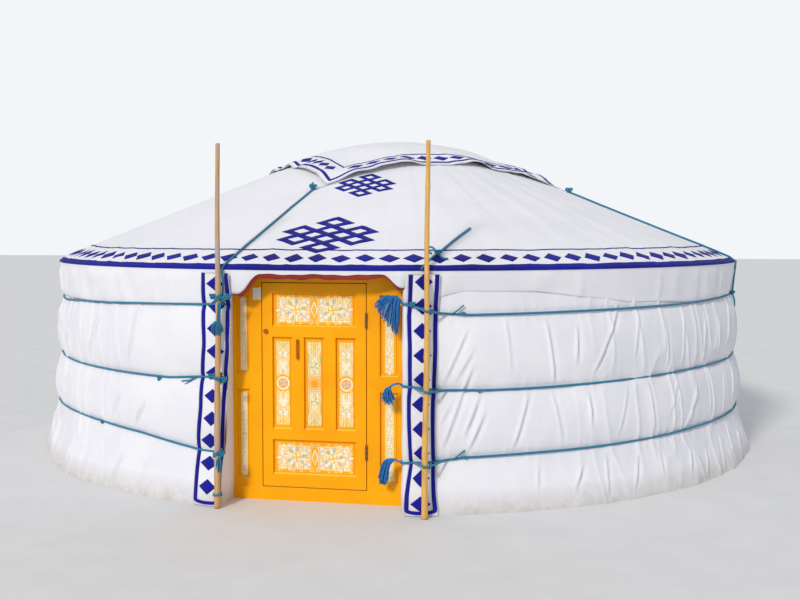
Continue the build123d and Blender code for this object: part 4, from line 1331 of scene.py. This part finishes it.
def paint_tall(brush, medallion):
    """A round medallion with blossoms or horns above and below, and scrolls along the sides."""
    clear = 0.056 if medallion else 0.046
    brush.lace(0.043, 0.285, 0.0145, lambda x, z: math.hypot(x, z) < clear)
    if medallion:
        brush.ring(0, 0, 0.041, 0.011, WHITE)
        brush.ring(0, 0, 0.029, 0.003, ROSE)
        brush.flower(0, 0, 0.027, 8, (BLUE, ROSE), 0.15)
    else:
        brush.ring(0, 0, 0.034, 0.008, ROSE)
        brush.ring(0, 0, 0.047, 0.003, CREAM)
    for rise in (-1, 1):
        up = rise * UP
        if medallion:
            brush.flower(0, rise * 0.128, 0.040, 9, (WHITE, WHITE, CREAM), 0.1, WHITE)
            brush.flower(0, rise * 0.202, 0.036, 7, (WHITE, CREAM, ROSE), 0.1, GREEN)
        else:
            t = np.linspace(0, 1, 14)
            for way in (-1, 1):
                horn = way * (0.006 + 0.038 * np.sin(t * 1.9))
                brush.stroke(horn, rise * (0.170 + 0.098 * t), 0.017 * (1 - 0.5 * t), CREAM)
                brush.spiral(way * 0.030, rise * 0.262, 0.014, up, -way * rise * 1.1, WHITE, 0.007)
                brush.petal(way * 0.020, rise * 0.142, up + way * rise * 0.5, 0.040, 0.012, WHITE)
            brush.flower(0, rise * 0.118, 0.030, 8, (WHITE, GREEN, CREAM), 0.1)
        brush.petal(0, rise * 0.240, up, 0.050, 0.020, GOLD)
        leaves = ((0.040, 0.060, CREAM), (0.043, 0.140, (GREEN, CREAM)[medallion]), (0.043, 0.210, CREAM))
        for way in (-1, 1):
            brush.petal(way * 0.014, rise * 0.056, up - way * rise * 0.2, 0.050, 0.012, WHITE)
            for x, z, paint in leaves:
                brush.petal(way * x, rise * z, up, 0.070, 0.009, paint)
            brush.petal(way * 0.014, rise * 0.256, up - way * rise * 0.6, 0.036, 0.010, GREEN)
    for z, r in ((0.062, 0.013), (0.090, 0.013), (0.165, 0.014), (0.240, 0.014), (0.270, 0.012)):
        brush.corners(0.034, z, r, 1.1)


def paint_narrow(brush):
    """A slender column of blossoms and buds."""
    wide, tall = min(0.029, brush.half[0] * 0.84), brush.half[1]
    brush.lace(wide, tall * 0.95, 0.0145)
    for share in (-0.80, -0.48, -0.16, 0.16, 0.48, 0.80):
        middle, central = share * tall, abs(share) < 0.3
        brush.flower(0, middle, wide, 7, (WHITE, CREAM) if central else (WHITE, ROSE, CREAM), 0.1)
        for rise in (-1, 1):
            up = rise * UP
            brush.petal(0, middle + rise * wide * 0.7, up, tall * 0.13, wide * 0.75, WHITE)
            for way in (-1, 1):
                brush.petal(way * wide * 0.72, middle + rise * 0.008, up, tall * 0.15, wide * 0.36, CREAM)
                brush.spiral(way * wide * 0.5, middle + rise * tall * 0.15, wide * 0.42, up, way * rise * 1.1,
                             (CREAM, GREEN)[central], 0.004)


def panel_fields(name):
    """The raised fields of a node's panels, from its frontmost faces: left, right, low, high."""
    mesh = nodes[name].data
    fields = {}
    for face in mesh.polygons:
        x, y, z = np.array([mesh.vertices[index].co for index in face.vertices]).T
        if np.ptp(y) < 1e-4 and abs(y[0] - FIELD_Y) < 1e-4:
            box = (x.min(), x.max(), z.min(), z.max())
            fields[tuple(round(float(value), 3) for value in box)] = box
    return [fields[key] for key in sorted(fields)]


def make_door_ornament():
    """Wide panels, three tall ones, the middle one of them different, and the narrow ones at the sides."""
    builder = Builder()
    talls = 0
    for field in panel_fields("door_panels"):
        brush = Brush(builder, *field)
        if brush.half[0] > brush.half[1]:
            paint_wide(brush)
        else:
            paint_tall(brush, talls != 1)
            talls += 1
    builder.piece("door_panel_ornament", PAINTS, body="door")
    for side in ("left", "right"):
        builder = Builder()
        for field in panel_fields(f"{side}_side_panels"):
            paint_narrow(Brush(builder, *field))
        builder.piece(f"{side}_side_ornament", PAINTS)


make_door_ornament()


def slab(builder, left, right, low, high, back, front, bevel=0.0012):
    """A board parallel to the door with bevelled front edges."""
    rings = np.array([[(left + inset, y, low + inset), (right - inset, y, low + inset),
                       (right - inset, y, high - inset), (left + inset, y, high - inset)]
                      for inset, y in ((0, back), (0, front + bevel), (bevel, front))])
    builder.grid(rings.transpose(1, 0, 2), closed=True)
    x, z = (left + right) / 2, (low + high) / 2
    builder.fan((x, front, z), rings[-1], flip=True)
    builder.fan((x, back, z), rings[0])


# Left, right, low and high edge of the plate, and its pins
PLATE = (-0.446, -0.388, 1.372, 1.456)
PLATE_PINS = ((-0.417, 1.448), (-0.417, 1.380))
PIN_R = 0.0028
STOP_LAP, STOP_OUT = 0.014, 0.010


def make_door_fittings():
    """The number plate, left bare, with its two pins, and the stop that the leaf shuts against."""
    plate = Builder()
    slab(plate, *PLATE, DOOR_FACE + 0.002, DOOR_FACE - 0.004)
    t = np.linspace(0, TAU, 12, endpoint=False)
    for x, z in PLATE_PINS:
        head = joined(x + PIN_R * np.cos(t), DOOR_FACE - 0.0052, z + PIN_R * np.sin(t))
        plate.grid(np.stack([head + (0, 0.002, 0), head], axis=1), closed=True, slot=1)
        plate.fan((x, DOOR_FACE - 0.0056, z), head, slot=1, flip=True)
    plate.piece("number_plate", [PAINTS[WHITE], IRON], smooth=False)

    stop = Builder()
    left, right, low, high = LEAF_LOW.x, LEAF_HIGH.x, LEAF_LOW.z, LEAF_HIGH.z
    for board in ((left - STOP_OUT, left + STOP_LAP, low, high + STOP_OUT),
                  (right - STOP_LAP, right + STOP_OUT, low, high + STOP_OUT),
                  (left + STOP_LAP, right - STOP_LAP, high - STOP_LAP, high + STOP_OUT)):
        slab(stop, *board, LEAF_HIGH.y + 0.008, LEAF_HIGH.y + 0.0008)
    stop.piece("door_stop", DOOR_PAINT, smooth=False)


make_door_fittings()


# Stage: a pale floor, soft light and a pale surround

FLOOR_REACH = 60.0
SKY_LIGHT = (0.91, 0.94, 1.0, 1.0)
SKY_STRENGTH = 0.62
SEEN_SKY = (0.90, 0.92, 0.95, 1.0)
SUN_STRENGTH = 1.96
SUN_SPREAD = math.radians(9)
SUN_COLOUR = (1.0, 0.965, 0.91)
SUN_WAY = Vector((0.22, 0.80, -0.50))


def make_stage():
    mesh = bpy.data.meshes.new("floor")
    corners = [(x * FLOOR_REACH, y * FLOOR_REACH, 0) for x, y in ((-1, -1), (1, -1), (1, 1), (-1, 1))]
    mesh.from_pydata(corners, [], [(0, 1, 2, 3)])
    n = Nodes("floor_pale", 0.9, 0.1)
    speck = n.noise(n.place(), 3.0, 4.0, 0.6)
    mesh.materials.append(n.finish(n.ramp(speck, 0.3, (0.70, 0.70, 0.70), 0.7, (0.74, 0.74, 0.74))))
    floor = add_object("floor", mesh)

    world = bpy.data.worlds.new("surround")
    world.use_nodes = True
    tree = world.node_tree
    light = tree.nodes["Background"]
    seen = tree.nodes.new("ShaderNodeBackground")
    for node, colour, strength in ((light, SKY_LIGHT, SKY_STRENGTH), (seen, SEEN_SKY, 1.0)):
        node.inputs["Color"].default_value = colour
        node.inputs["Strength"].default_value = strength
    mix = tree.nodes.new("ShaderNodeMixShader")
    camera_ray = tree.nodes.new("ShaderNodeLightPath").outputs["Is Camera Ray"]
    for source, socket in ((camera_ray, mix.inputs["Fac"]), (light.outputs[0], mix.inputs[1]),
                           (seen.outputs[0], mix.inputs[2]),
                           (mix.outputs[0], tree.nodes["World Output"].inputs["Surface"])):
        tree.links.new(source, socket)
    bpy.context.scene.world = world

    sun = bpy.data.lights.new("sun", "SUN")
    sun.energy = SUN_STRENGTH
    sun.angle = SUN_SPREAD
    sun.color = SUN_COLOUR
    add_object("sun", sun).rotation_euler = SUN_WAY.to_track_quat("-Z", "Y").to_euler()


make_stage()
bpy.context.scene.view_settings.view_transform = "Standard"


# Materials of the model's own pieces: the first row that has a word of the piece's name

FINISHES = [
    (FRAME_WOOD, ("lattice", "roof_poles", "crown_rim", "crown_spokes", "_post")),
    (IRON, ("hinges",)),
    (RUST_PAINT, ("door_handle", "door_latch")),
    (ROPE_TEAL, ("ties", "rope")),
    (FIELD_PAINT, ("panels",)),
    (DOOR_PAINT, ("door", "threshold")),
    (CANVAS, ("",)),
]


def dress():
    for name, node in nodes.items():
        finish = next(finish for finish, words in FINISHES if any(word in name for word in words))
        node.data.materials.clear()
        node.data.materials.append(finish)


dress()
